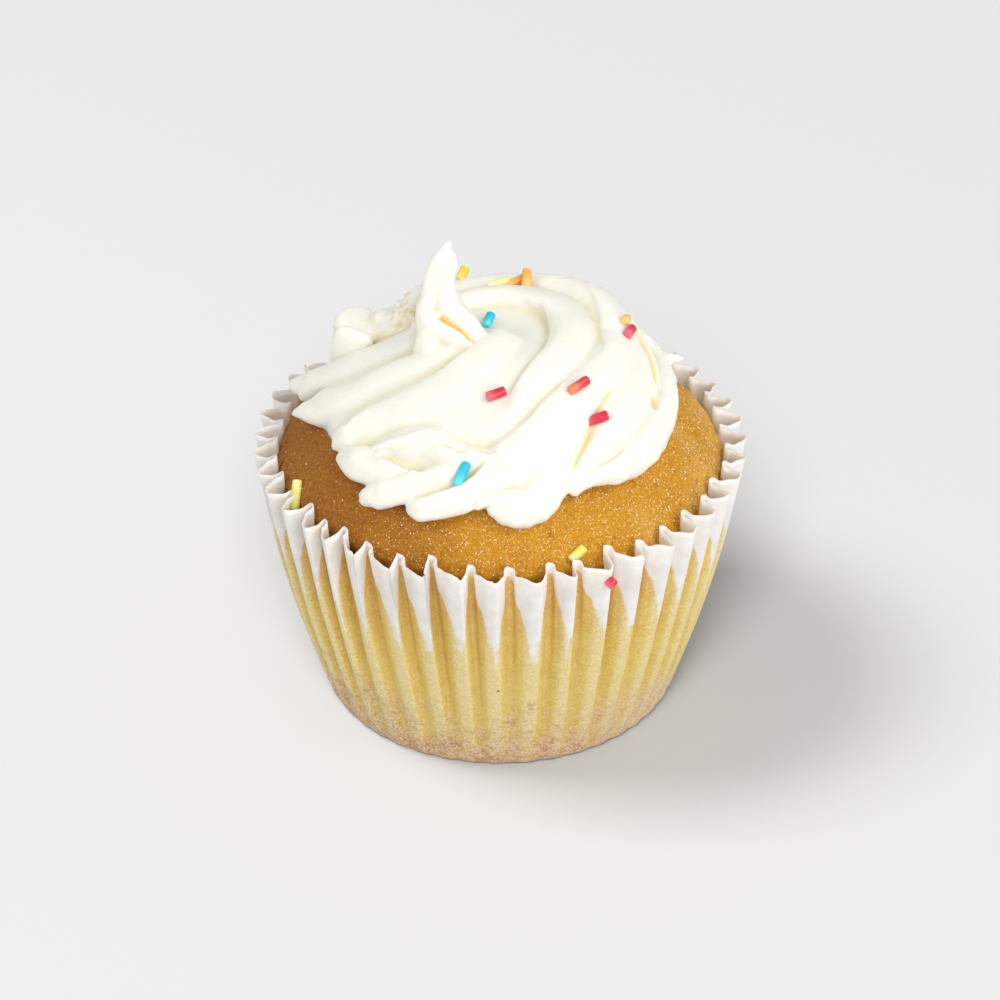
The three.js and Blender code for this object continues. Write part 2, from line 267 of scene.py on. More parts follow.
class Finish:
    """The nodes of one procedural material on object coordinates."""

    def __init__(self, name: str) -> None:
        """Start an empty material.

        Args:
            name: the material's name.
        """
        self.material = bpy.data.materials.new(name)
        self.material.use_nodes = True
        self.tree = self.material.node_tree
        self.tree.nodes.clear()
        self.place = self.node("ShaderNodeTexCoord").outputs["Object"]

    def node(self, kind: str, **settings: object) -> bpy.types.Node:
        """Add a node and set its properties.

        Args:
            kind: the node's type.
            **settings: its properties by name.

        Returns:
            The node.
        """
        node = self.tree.nodes.new(kind)
        for key, value in settings.items():
            setattr(node, key, value)
        return node

    def feed(self, socket: bpy.types.NodeSocket, value: object) -> None:
        """Link a socket's value from another socket, or set it.

        Args:
            socket: the socket to feed.
            value: another socket, or a plain value.
        """
        if isinstance(value, bpy.types.NodeSocket):
            self.tree.links.new(value, socket)
        else:
            socket.default_value = value

    def number(self, operation: str, a: object, b: object) -> bpy.types.NodeSocket:
        """Combine two numbers.

        Args:
            operation: the sum's name, such as ADD.
            a: the first number or its socket.
            b: the second.

        Returns:
            The result's socket.
        """
        node = self.node("ShaderNodeMath", operation=operation)
        self.feed(node.inputs[0], a)
        self.feed(node.inputs[1], b)
        return node.outputs[0]

    def scaled(self, value: object, by: object) -> bpy.types.NodeSocket:
        """Multiply one number by another and return the result's socket."""
        return self.number("MULTIPLY", value, by)

    def centred(self, value: object, span: float) -> bpy.types.NodeSocket:
        """Turn a number from 0 to 1 into one of a span centred on 0 and return its socket."""
        return self.scaled(self.number("SUBTRACT", value, 0.5), span)

    def attribute(self, name: str) -> bpy.types.NodeSocket:
        """Read one of the piece's own vertex attributes."""
        return self.node("ShaderNodeAttribute", attribute_name=name).outputs["Fac"]

    def grain(self, size: float, detail: float = 2.0, roughness: float = 0.5) -> bpy.types.NodeSocket:
        """Make noise from 0 to 1.

        Args:
            size: the size of its largest blotches, in mm.
            detail: how many finer layers it has.
            roughness: how strong the finer layers are.

        Returns:
            The socket that holds it.
        """
        node = self.node("ShaderNodeTexNoise")
        self.feed(node.inputs["Vector"], self.place)
        node.inputs["Scale"].default_value = 1.0 / (size * MM)
        node.inputs["Detail"].default_value = detail
        node.inputs["Roughness"].default_value = roughness
        return node.outputs["Fac"]

    def cells(self, size: float) -> bpy.types.Node:
        """Add a Voronoi texture.

        Args:
            size: the size of a cell, in mm.

        Returns:
            The node.
        """
        node = self.node("ShaderNodeTexVoronoi")
        self.feed(node.inputs["Vector"], self.place)
        node.inputs["Scale"].default_value = 1.0 / (size * MM)
        return node

    def step(self, value: object, low: float, high: float) -> bpy.types.NodeSocket:
        """Make a smooth rise from 0 to 1.

        Args:
            value: the number that rises, or its socket.
            low: where the rise is 0.
            high: where it is 1; it may be less than low.

        Returns:
            The result's socket.
        """
        node = self.node("ShaderNodeMapRange", interpolation_type="SMOOTHSTEP")
        self.feed(node.inputs["Value"], value)
        node.inputs["From Min"].default_value = low
        node.inputs["From Max"].default_value = high
        return node.outputs[0]

    def blend(self, share: object, a: object, b: object) -> bpy.types.NodeSocket:
        """Mix two colours by a share.

        Args:
            share: how much of the second there is, from 0 to 1.
            a: the first colour or its socket.
            b: the second.

        Returns:
            The result's socket.
        """
        node = self.node("ShaderNodeMix", data_type="RGBA")
        self.feed(node.inputs["Factor"], share)
        self.feed(node.inputs[6], a)
        self.feed(node.inputs[7], b)
        return node.outputs[2]

    def part(self, tone: bpy.types.NodeSocket, name: str) -> bpy.types.NodeSocket:
        """Return one part of a colour: Red, Green or Blue.

        Args:
            tone: the colour's socket.
            name: Red, Green or Blue.

        Returns:
            The part's socket.
        """
        split = self.node("ShaderNodeSeparateColor")
        self.feed(split.inputs[0], tone)
        return split.outputs[name]

    def axis(self, name: str) -> bpy.types.NodeSocket:
        """Return one coordinate of the place, in metres.

        Args:
            name: X, Y or Z.

        Returns:
            The coordinate's socket.
        """
        split = self.node("ShaderNodeSeparateXYZ")
        self.feed(split.inputs[0], self.place)
        return split.outputs[name]

    def relief(self, height: object, depth: float) -> bpy.types.NodeSocket:
        """Return a normal for relief of a height from 0 to 1 and a depth in mm.

        Args:
            height: the relief, from 0 to 1, or its socket.
            depth: how high a height of 1 stands, in mm.

        Returns:
            The normal's socket.
        """
        node = self.node("ShaderNodeBump")
        node.inputs["Strength"].default_value = 1.0
        node.inputs["Distance"].default_value = depth * MM
        self.feed(node.inputs["Height"], height)
        return node.outputs[0]

    def surface(self, **inputs: object) -> bpy.types.Material:
        """Close the material with a Principled surface.

        Args:
            **inputs: its sockets by name, with _ for each space.

        Returns:
            The material.
        """
        shader = self.node("ShaderNodeBsdfPrincipled")
        for key, value in inputs.items():
            self.feed(shader.inputs[key.replace("_", " ")], value)
        output = self.node("ShaderNodeOutputMaterial")
        self.feed(output.inputs["Surface"], shader.outputs[0])
        return self.material


# ---- finishes ------------------------------------------------------------------------------------


@dataclass(frozen=True)
class PaperFinish:
    """Thin baking paper: white where it hangs free, yellow where the sponge has soaked into it, with a
    painted highlight along the outer folds and, low down, painted shade on the left side and painted light
    on the right.
    """

    free: str = "f4efe8"
    free_shade: str = "e9e0d5"
    soaked: str = "e2bd62"
    soaked_deep: str = "d9b04f"
    fleck: str = "ecd68e"
    arch: str = "dea562"
    # painted highlight along the outer folds
    fold_highlight: str = "efdca8"
    low: str = "ba7d4c"
    low_patch: str = "d9ae84"
    low_fleck: str = "efdac0"
    # painted shade low down on the left side, and painted light low down on the right side
    low_left_shade: str = "94602f"
    low_right_light: str = "eccfa0"
    speck: str = "3a2a20"
    low_zone: tuple[float, float] = (-2.0, 15.0)

    def material(self) -> bpy.types.Material:
        """Return the paper's material, which reads the attributes free and fold."""
        f = Finish("baking_paper")
        fold = f.attribute("fold")
        height = f.axis("Z")
        fine = f.grain(0.42, 5.0, 0.72)
        blotch = f.grain(3.4, 3.0, 0.6)
        flecks = f.step(fine, 0.44, 0.64)
        wobble = f.centred(f.grain(1.6, 3.0, 0.6), 0.24)
        free = f.step(f.number("ADD", f.attribute("free"), wobble), -0.05, 0.09)
        soaked = f.blend(f.step(blotch, 0.35, 0.68), colour(self.soaked), colour(self.soaked_deep))
        top = f.scaled(f.step(height, 0.024, 0.036), f.step(blotch, 0.25, 0.6))
        soaked = f.blend(f.scaled(top, 0.7), soaked, colour(self.arch))
        soaked = f.blend(f.scaled(flecks, 0.62), soaked, colour(self.fleck))
        # Painted highlight: a pale band along the outer folds, where they catch the light.
        highlit_fold = f.step(fold, 0.42, 0.06)
        pale = f.scaled(highlit_fold, f.number("ADD", f.scaled(flecks, 0.45), 0.4))
        soaked = f.blend(pale, soaked, colour(self.fold_highlight))
        patch = f.step(f.grain(1.3, 4.0, 0.7), 0.4, 0.6)
        low = f.blend(patch, colour(self.low), colour(self.low_patch))
        # Low down: painted shade on the left side, painted light on the right side.
        side = f.step(f.axis("X"), 0.008, -0.026)
        low = f.blend(f.scaled(side, 0.65), low, colour(self.low_left_shade))
        lit_side = f.step(f.axis("X"), 0.008, 0.026)
        low = f.blend(f.scaled(lit_side, 0.5), low, colour(self.low_right_light))
        low = f.blend(f.scaled(flecks, 0.7), low, colour(self.low_fleck))
        edge = f.number("ADD", height, f.centred(blotch, 0.03))
        low_share = f.step(edge, self.low_zone[1] * MM, self.low_zone[0] * MM)
        soaked = f.blend(low_share, soaked, low)
        white = f.blend(f.step(blotch, 0.3, 0.7), colour(self.free), colour(self.free_shade))
        tone = f.blend(free, soaked, white)
        specks = f.cells(5.2)
        dot = f.step(specks.outputs["Distance"], 0.05, 0.03)
        chosen = f.step(f.part(specks.outputs["Color"], "Red"), 0.9, 0.92)
        tone = f.blend(f.scaled(dot, chosen), tone, colour(self.speck))
        return f.surface(
            Base_Color=tone,
            Roughness=f.number("ADD", f.scaled(free, 0.12), 0.46),
            Normal=f.relief(fine, 0.04),
            Subsurface_Weight=0.35,
            Subsurface_Radius=(1.0, 0.8, 0.55),
            Subsurface_Scale=0.0012,
            Specular_IOR_Level=0.35,
        )


@dataclass(frozen=True)
class CrustFinish:
    """The baked crust: golden, browner on one side, partly from baking and partly painted shade, paler on
    the other side with painted light, and finely grained.
    """

    golden: str = "cc8e1a"
    brown_and_shade: str = "a06218"
    light: str = "ecba42"
    dark: str = "7c3e10"
    # paler crust on the right side: painted light
    pale: str = "e8b562"
    speck: str = "4a1f0c"

    def material(self) -> bpy.types.Material:
        """Return the crust's material."""
        f = Finish("baked_crust")
        cloud = f.grain(9.0, 4.0, 0.6)
        patch = f.grain(1.6, 5.0, 0.7)
        grit = f.grain(0.36, 4.0, 0.75)
        # Browner on the left, partly baking and partly painted shade; paler on the right, painted light.
        side = f.number("ADD", f.axis("X"), f.centred(cloud, 0.03))
        browned_and_shaded = f.step(side, 0.006, -0.026)
        tone = f.blend(browned_and_shaded, colour(self.golden), colour(self.brown_and_shade))
        tone = f.blend(f.scaled(f.step(side, 0.02, 0.034), 0.8), tone, colour(self.pale))
        tone = f.blend(f.scaled(f.step(patch, 0.52, 0.76), 0.55), tone, colour(self.dark))
        bright = f.number("SUBTRACT", 0.85, f.scaled(browned_and_shaded, 0.45))
        tone = f.blend(f.scaled(f.step(grit, 0.52, 0.68), bright), tone, colour(self.light))
        tone = f.blend(f.scaled(f.step(grit, 0.46, 0.32), 0.55), tone, colour(self.dark))
        specks = f.cells(7.0)
        dot = f.step(specks.outputs["Distance"], 0.045, 0.028)
        chosen = f.step(f.part(specks.outputs["Color"], "Red"), 0.86, 0.88)
        tone = f.blend(f.scaled(dot, chosen), tone, colour(self.speck))
        return f.surface(
            Base_Color=tone,
            Roughness=f.number("SUBTRACT", 0.7, f.scaled(f.step(grit, 0.52, 0.75), 0.36)),
            Normal=f.relief(grit, 0.2),
            Subsurface_Weight=0.2,
            Subsurface_Radius=(1.0, 0.5, 0.2),
            Subsurface_Scale=0.0012,
            Specular_IOR_Level=0.3,
        )


@dataclass(frozen=True)
class CreamFinish:
    """Whipped cream: near white, with painted shade: warm in its hollows and yellow in its deepest cracks
    and along its creases.
    """

    white: str = "efede3"
    hollow_shade: str = "f0e8c8"
    # butter-yellow painted shade, in the deepest cracks and along the creases
    crack: str = "f3d25a"
    hollow_shade_from: tuple[float, float] = (0.05, 0.7)
    crack_shade_from: tuple[float, float] = (0.9, 1.7)

    def material(self) -> bpy.types.Material:
        """Return the cream's material, which reads the attributes for its hollows and for the yellow of
        its creases, and paints shade by them.
        """
        f = Finish("piped_cream")
        hollow = f.attribute("hollow")
        # Painted shade: warm in the hollows, yellow in the deepest cracks and where the creases are
        # marked.
        tone = f.blend(f.step(hollow, *self.hollow_shade_from), colour(self.white), colour(self.hollow_shade))
        tone = f.blend(f.step(hollow, *self.crack_shade_from), tone, colour(self.crack))
        tone = f.blend(f.attribute("yellow_shade"), tone, colour(self.crack))
        silk = f.grain(0.9, 4.0, 0.6)
        return f.surface(
            Base_Color=tone,
            Roughness=0.42,
            Normal=f.relief(silk, 0.07),
            Subsurface_Weight=1.0,
            Subsurface_Radius=(1.0, 0.85, 0.6),
            Subsurface_Scale=0.0016,
            Specular_IOR_Level=0.4,
        )


class Sugar(Enum):
    """The colours that the sprinkles come in: one end's and the other end's."""

    TURQUOISE = ("12bcd8", "5fdcec")
    RED = ("d02440", "e46a78")
    CORAL = ("d83240", "ee8a62")
    YELLOW = ("f6cf3c", "f8e07a")
    PALE = ("f7ef9e", "fbf6c4")
    ORANGE = ("f2b052", "f7cf86")
    LIME = ("dede6a", "e9e99c")

    def material(self) -> bpy.types.Material:
        """Return the sprinkles' material, which reads the attribute along."""
        f = Finish("sugar_" + self.name.lower())
        deep, pale = self.value
        along = f.number("ADD", f.attribute("along"), f.scaled(f.grain(0.6, 2.0), 0.3))
        tone = f.blend(f.step(along, 0.85, 0.15), colour(deep), colour(pale))
        pits = f.grain(0.28, 2.0)
        return f.surface(
            Base_Color=tone,
            Roughness=0.28,
            Normal=f.relief(pits, 0.06),
            Subsurface_Weight=0.25,
            Subsurface_Radius=(1.0, 1.0, 1.0),
            Subsurface_Scale=0.0005,
            Specular_IOR_Level=0.55,
        )


@dataclass(frozen=True)
class GrainFinish:
    """Sugar that has dried to small clear grains on the crust."""

    white: str = "fff6e6"
    gold: str = "ffd684"

    def material(self) -> bpy.types.Material:
        """Return the grains' material."""
        f = Finish("sugar_grains")
        tone = f.blend(f.step(f.grain(0.4, 1.0), 0.4, 0.6), colour(self.white), colour(self.gold))
        return f.surface(Base_Color=tone, Roughness=0.15, Specular_IOR_Level=0.7, Subsurface_Weight=0.3,
                         Subsurface_Scale=0.0003)


@dataclass(frozen=True)
class FloorFinish:
    """The pale, even floor."""

    tone: str = "9f9f9f"

    def material(self) -> bpy.types.Material:
        """Return the floor's material."""
        f = Finish("pale_floor")
        return f.surface(Base_Color=colour(self.tone), Roughness=0.9, Specular_IOR_Level=0.1)


# ---- paper case ----------------------------------------------------------------------------------


@dataclass
class PaperCase:
    """The pleated case: one thin sheet, flat below and folded up its wall."""

    height: float = 38.8
    base_radius: float = 25.4
    rim_radius: float = 35.1
    bulge: float = 0.95
    rounding: float = 1.3
    thickness: float = 0.12
    pleats: int = 43
    first_fold: float = -90.8
    depth_at_base: float = 0.1
    depth_at_rim: float = 3.35
    columns: int = 24
    wall_rows: int = 40
    flank_share: float = 0.46
    loop: float = 0.1
    curl_from: float = 0.55
    loop_rise: float = 0.7
    upright: float = 0.45
    leans: tuple[tuple[float, float], ...] = (
        (-180.0, 0.0), (-150.0, 0.2), (-125.0, 0.5), (-103.0, 0.62), (-97.5, 0.1), (-80.0, 0.0),
        (-75.0, 0.34), (-60.0, 0.3), (-40.0, 0.15), (0.0, 0.0), (180.0, 0.0),
    )
    sway: float = 2.0
    sway_side: float = -62.0
    sway_width: float = 18.0
    fold_spread: float = 0.13
    lean_spread: float = 0.07
    depth_spread: float = 0.15
    buckle: float = 0.2
    rim_step: float = 0.45
    rim_wave: float = 0.4
    free_from: float = 24.5
    stuck_to: float = 37.3
    bare_from: float = 37.6
    tip_spread: float = 2.6
    arch: float = 2.1
    arch_spread: float = 0.4

    def radius(self, z: float) -> float:
        """Return the radius of the outer folds at a height.

        Args:
            z: the height.

        Returns:
            The radius.
        """
        share = z / self.height
        wall = lerp(self.base_radius, self.rim_radius, share) + self.bulge * math.sin(math.pi * share)
        below = max(0.0, self.rounding - z)
        return wall - self.rounding + math.sqrt(max(0.0, self.rounding**2 - below**2))

    def pleat_depth(self, z: float) -> float:
        """Return how far in the inner folds lie at a height."""
        return lerp(self.depth_at_base, self.depth_at_rim, max(0.0, z / self.height) ** 1.15)

    def fold_azimuth(self, pleat: int) -> float:
        """Return the azimuth of a pleat's outer fold, in degrees.

        Args:
            pleat: the pleat's number.

        Returns:
            The azimuth; it grows with the number, past 180 too.
        """
        pitch = 360.0 / self.pleats
        azimuth = self.first_fold + pitch * (pleat + self.fold_spread * draw(pleat % self.pleats, 1))
        away = (azimuth + 180.0) % 360.0 - 180.0 - self.sway_side
        return azimuth + self.sway * math.exp(-((away / self.sway_width) ** 2))

    def inner_share(self, pleat: int, z: float) -> float:
        """Return how far on towards the next outer fold a pleat's inner fold lies.

        Args:
            pleat: the pleat's number.
            z: the height.

        Returns:
            The share of the way.
        """
        azimuth = (self.fold_azimuth(pleat) + 180.0) % 360.0 - 180.0
        lean = float(np.interp(azimuth, *zip(*self.leans)))
        at_rim = self.upright - lean + self.lean_spread * draw(pleat % self.pleats, 2)
        return lerp(self.upright, at_rim, (z / self.height) ** 1.2)

    def fold(self, pleat: int, share: float, z: float) -> tuple[float, float]:
        """Follow the paper across one pleat.

        Args:
            pleat: the pleat's number.
            share: from 0 at its outer fold to 1 at the next one.
            z: the height.

        Returns:
            The azimuth in degrees, and how deep in the paper is, from 0 to 1.
        """
        inner = self.inner_share(pleat, z)
        before = share < self.flank_share
        way = share / self.flank_share if before else (1.0 - share) / (1.0 - self.flank_share)
        curled = max(0.0, way - self.curl_from) / (1.0 - self.curl_from)
        curl = self.loop * math.sin(2.0 * math.pi * curled) * (z / self.height) ** 2
        place = lerp(0.0 if before else 1.0, inner, way + curl)
        bent = way**1.4
        deep = lerp(bent, bent * bent * (3.0 - 2.0 * bent), 0.92)
        start, end = self.fold_azimuth(pleat), self.fold_azimuth(pleat + 1)
        return lerp(start, end, place), deep

    def sheet(self) -> bmesh.types.BMesh:
        """Turn the case's outline round its axis and fold it into pleats.

        Returns:
            The folded sheet, with the layers free and fold.
        """
        flat = [self.base_radius * share for share in (0.0, 0.3, 0.6, 0.8, 0.9)]
        outline = [Vector((r, 0.0, 0.0)) for r in flat]
        outline += [Vector((self.radius(z), 0.0, z)) for z in (0.0, 0.2, 0.6)]
        wall = np.linspace(self.rounding, self.height, self.wall_rows)
        outline += [Vector((self.radius(z), 0.0, z)) for z in wall]
        steps = self.pleats * self.columns
        shape = turned(outline, steps)
        free = shape.verts.layers.float.new("free")
        fold = shape.verts.layers.float.new("fold")
        for vert in shape.verts:
            self.pleat_vertex(vert, steps, free, fold)
        return shape

    def pleat_vertex(self, vert: bmesh.types.BMVert, steps: int, free: object, fold: object) -> None:
        """Move one vertex of the turned sheet into its pleat and note what the finish needs.

        Args:
            vert: the vertex.
            steps: how many columns the sheet has.
            free: the layer that tells how far the paper stands off the sponge there.
            fold: the layer that tells how deep in its pleat the paper is there.
        """
        radius = math.hypot(vert.co.x, vert.co.y)
        if radius < 1e-3:
            return
        column = round(math.degrees(math.atan2(vert.co.y, vert.co.x)) % 360.0 * steps / 360.0) % steps
        pleat, place = divmod(column, self.columns)
        z = vert.co.z
        azimuth, deep = self.fold(pleat, place / self.columns, z)
        uneven = 1.0 + self.depth_spread * draw(pleat, 3)
        on_wall = min(1.0, radius / self.base_radius) ** 8
        depth = self.pleat_depth(z) * uneven
        spot = Vector((azimuth * 0.09, z * 0.05, 3.0))
        buckle = self.buckle * noise.noise(spot * 2.2) * (z / self.height)
        rim = max(0.0, z / self.height) ** 6
        vert.co = polar(radius - depth * deep * on_wall + buckle, azimuth, z)
        wave = noise.noise(Vector((azimuth * 0.35, 7.0, 0.0)))
        vert.co.z += self.rim_step * rim * draw(pleat, 5) + self.rim_wave * rim * wave
        vert.co.z += self.loop_rise * rim * deep**5
        if radius < self.base_radius + 0.5 and z < self.rounding:
            vert.co.z += 0.08 * on_wall * deep
        tip = self.free_from + self.tip_spread * draw(pleat, 7)
        above = (z - tip) / (self.stuck_to - tip)
        arch = self.arch + self.arch_spread * draw(pleat, 8)
        reach = above**arch + 0.03 if above > 0.0 else above
        vert[free] = max(reach - deep, (z - self.bare_from) / 1.5)
        vert[fold] = deep

    def build(self) -> bpy.types.Object:
        """Make the case and dress it.

        Returns:
            The piece.
        """
        piece = finished("paper_wrapper", self.sheet())
        solid = piece.modifiers.new("thickness", "SOLIDIFY")
        solid.thickness = self.thickness * MM
        solid.offset = -1.0
        baked(piece)
        piece.data.materials.append(PaperFinish().material())
        return piece


# ---- sponge --------------------------------------------------------------------------------------


@dataclass
class Sponge:
    """The sponge: a low dome with a crumbed crust, plain where the case hides it."""

    edge_radius: float = 31.4
    edge_height: float = 36.9
    top_height: float = 49.5
    fullness: float = 2.7
    floor: float = 0.65
    wall_gap: float = 0.3
    deepest: float = 1.2
    columns: int = 640
    shown_from: float = 0.6
    shown_rows: int = 54
    hidden_rows: int = 10
    relief: tuple[tuple[float, float, tuple[float, float, float]], ...] = (
        (0.34, 7.0, (0.0, 0.0, 0.0)),
        (0.17, 1.5, (9.0, 2.0, 5.0)),
        (0.11, 0.62, (3.0, 8.0, 1.0)),
    )
    pore_depth: float = 0.2
    pore_size: float = 1.1

    def dome(self, share: float) -> float:
        """Return the dome's height at a share of the edge's radius."""
        rise = max(0.0, 1.0 - min(1.0, share) ** self.fullness) ** 0.8
        return lerp(self.edge_height, self.top_height, rise)

    def top(self, x: float, y: float) -> float:
        """Return the height of the dome at a place, with its slow unevenness.

        Args:
            x: the place in plan.
            y: the place in plan.

        Returns:
            The height.
        """
        share = math.hypot(x, y) / self.edge_radius
        turn = math.atan2(y, x)
        wave = math.sin(2 * turn + 0.7) + 0.6 * math.sin(5 * turn + 2) * share
        return self.dome(share) + 0.45 * wave * share * share

    def outline(self, case: PaperCase) -> list[Vector]:
        """Return the outline that is turned into the sponge, from below up to the top.

        Args:
            case: the paper case that it was baked in.

        Returns:
            Its points, each with a radius as x and a height as z.
        """
        heights = (self.floor, case.rounding + self.floor, 9.0, 18.0, 27.0, 33.0)
        points = [Vector((0.0, 0.0, self.floor))]
        for z in heights:
            room = case.radius(z) - self.deepest * case.pleat_depth(z) - self.wall_gap
            points.append(Vector((room, 0.0, z)))
        angles = np.linspace(0.0, 1.0, self.shown_rows)
        shares = [1.0 - (1.0 - self.shown_from) * a**1.6 for a in angles]
        shares += list(np.linspace(self.shown_from, 0.0, self.hidden_rows + 1))[1:]
        return points + [Vector((self.edge_radius * s, 0.0, self.dome(s))) for s in shares]

    def crumb(self, place: Vector) -> float:
        """Return the crust's relief at a place, in mm.

        Args:
            place: the place, in mm.

        Returns:
            How far the crust stands out there.
        """
        grit = sum(depth * noise.noise(place / size + Vector(to)) for depth, size, to in self.relief)
        pores = smoothstep(noise.noise(place / self.pore_size + Vector((7.0, 7.0, 7.0))), 0.42, 0.7)
        return grit - self.pore_depth * pores

    def build(self, case: PaperCase) -> bpy.types.Object:
        """Make the sponge inside its case and dress it.

        Args:
            case: the paper case that it was baked in.

        Returns:
            The piece.
        """
        shape = turned(self.outline(case), self.columns)
        for vert in shape.verts:
            if vert.co.z < self.edge_height - 1.0:
                continue
            share = math.hypot(vert.co.x, vert.co.y) / self.edge_radius
            vert.co.z += self.top(vert.co.x, vert.co.y) - self.dome(share)
            vert.co += vert.normal * self.crumb(vert.co)
        piece = finished("sponge", shape)
        piece.data.materials.append(CrustFinish().material())
        return piece


# ---- cream ---------------------------------------------------------------------------------------


@dataclass(frozen=True)
class Ridge:
    """One ridge of the swirl, from its foot on: x, y, half width and lift above the dome of crests."""

    knots: tuple[tuple[float, float, float, float], ...]
    flat: float = 0.72
    lean: float = 13.0


@dataclass(frozen=True)
class Wisp:
    """Cream drawn out through some points, with a girth at each; blunt is how far its ends bulge."""

    points: tuple[tuple[float, float, float], ...]
    girths: tuple[float, ...]
    blunt: float = 1.0


@dataclass(frozen=True)
class Crease:
    """The line where a ridge, on its right, laps over the next: azimuth, radius and perhaps lift."""

    points: tuple[tuple[float, ...], ...]
    lip: float = 0.35
    dip: float = 0.45
    lip_width: float = 1.6
    dip_width: float = 1.3
    groove: float = 0.25
    groove_width: float = 0.3
    # how much painted yellow shade lies along the groove
    yellow_shade: float = 0.0


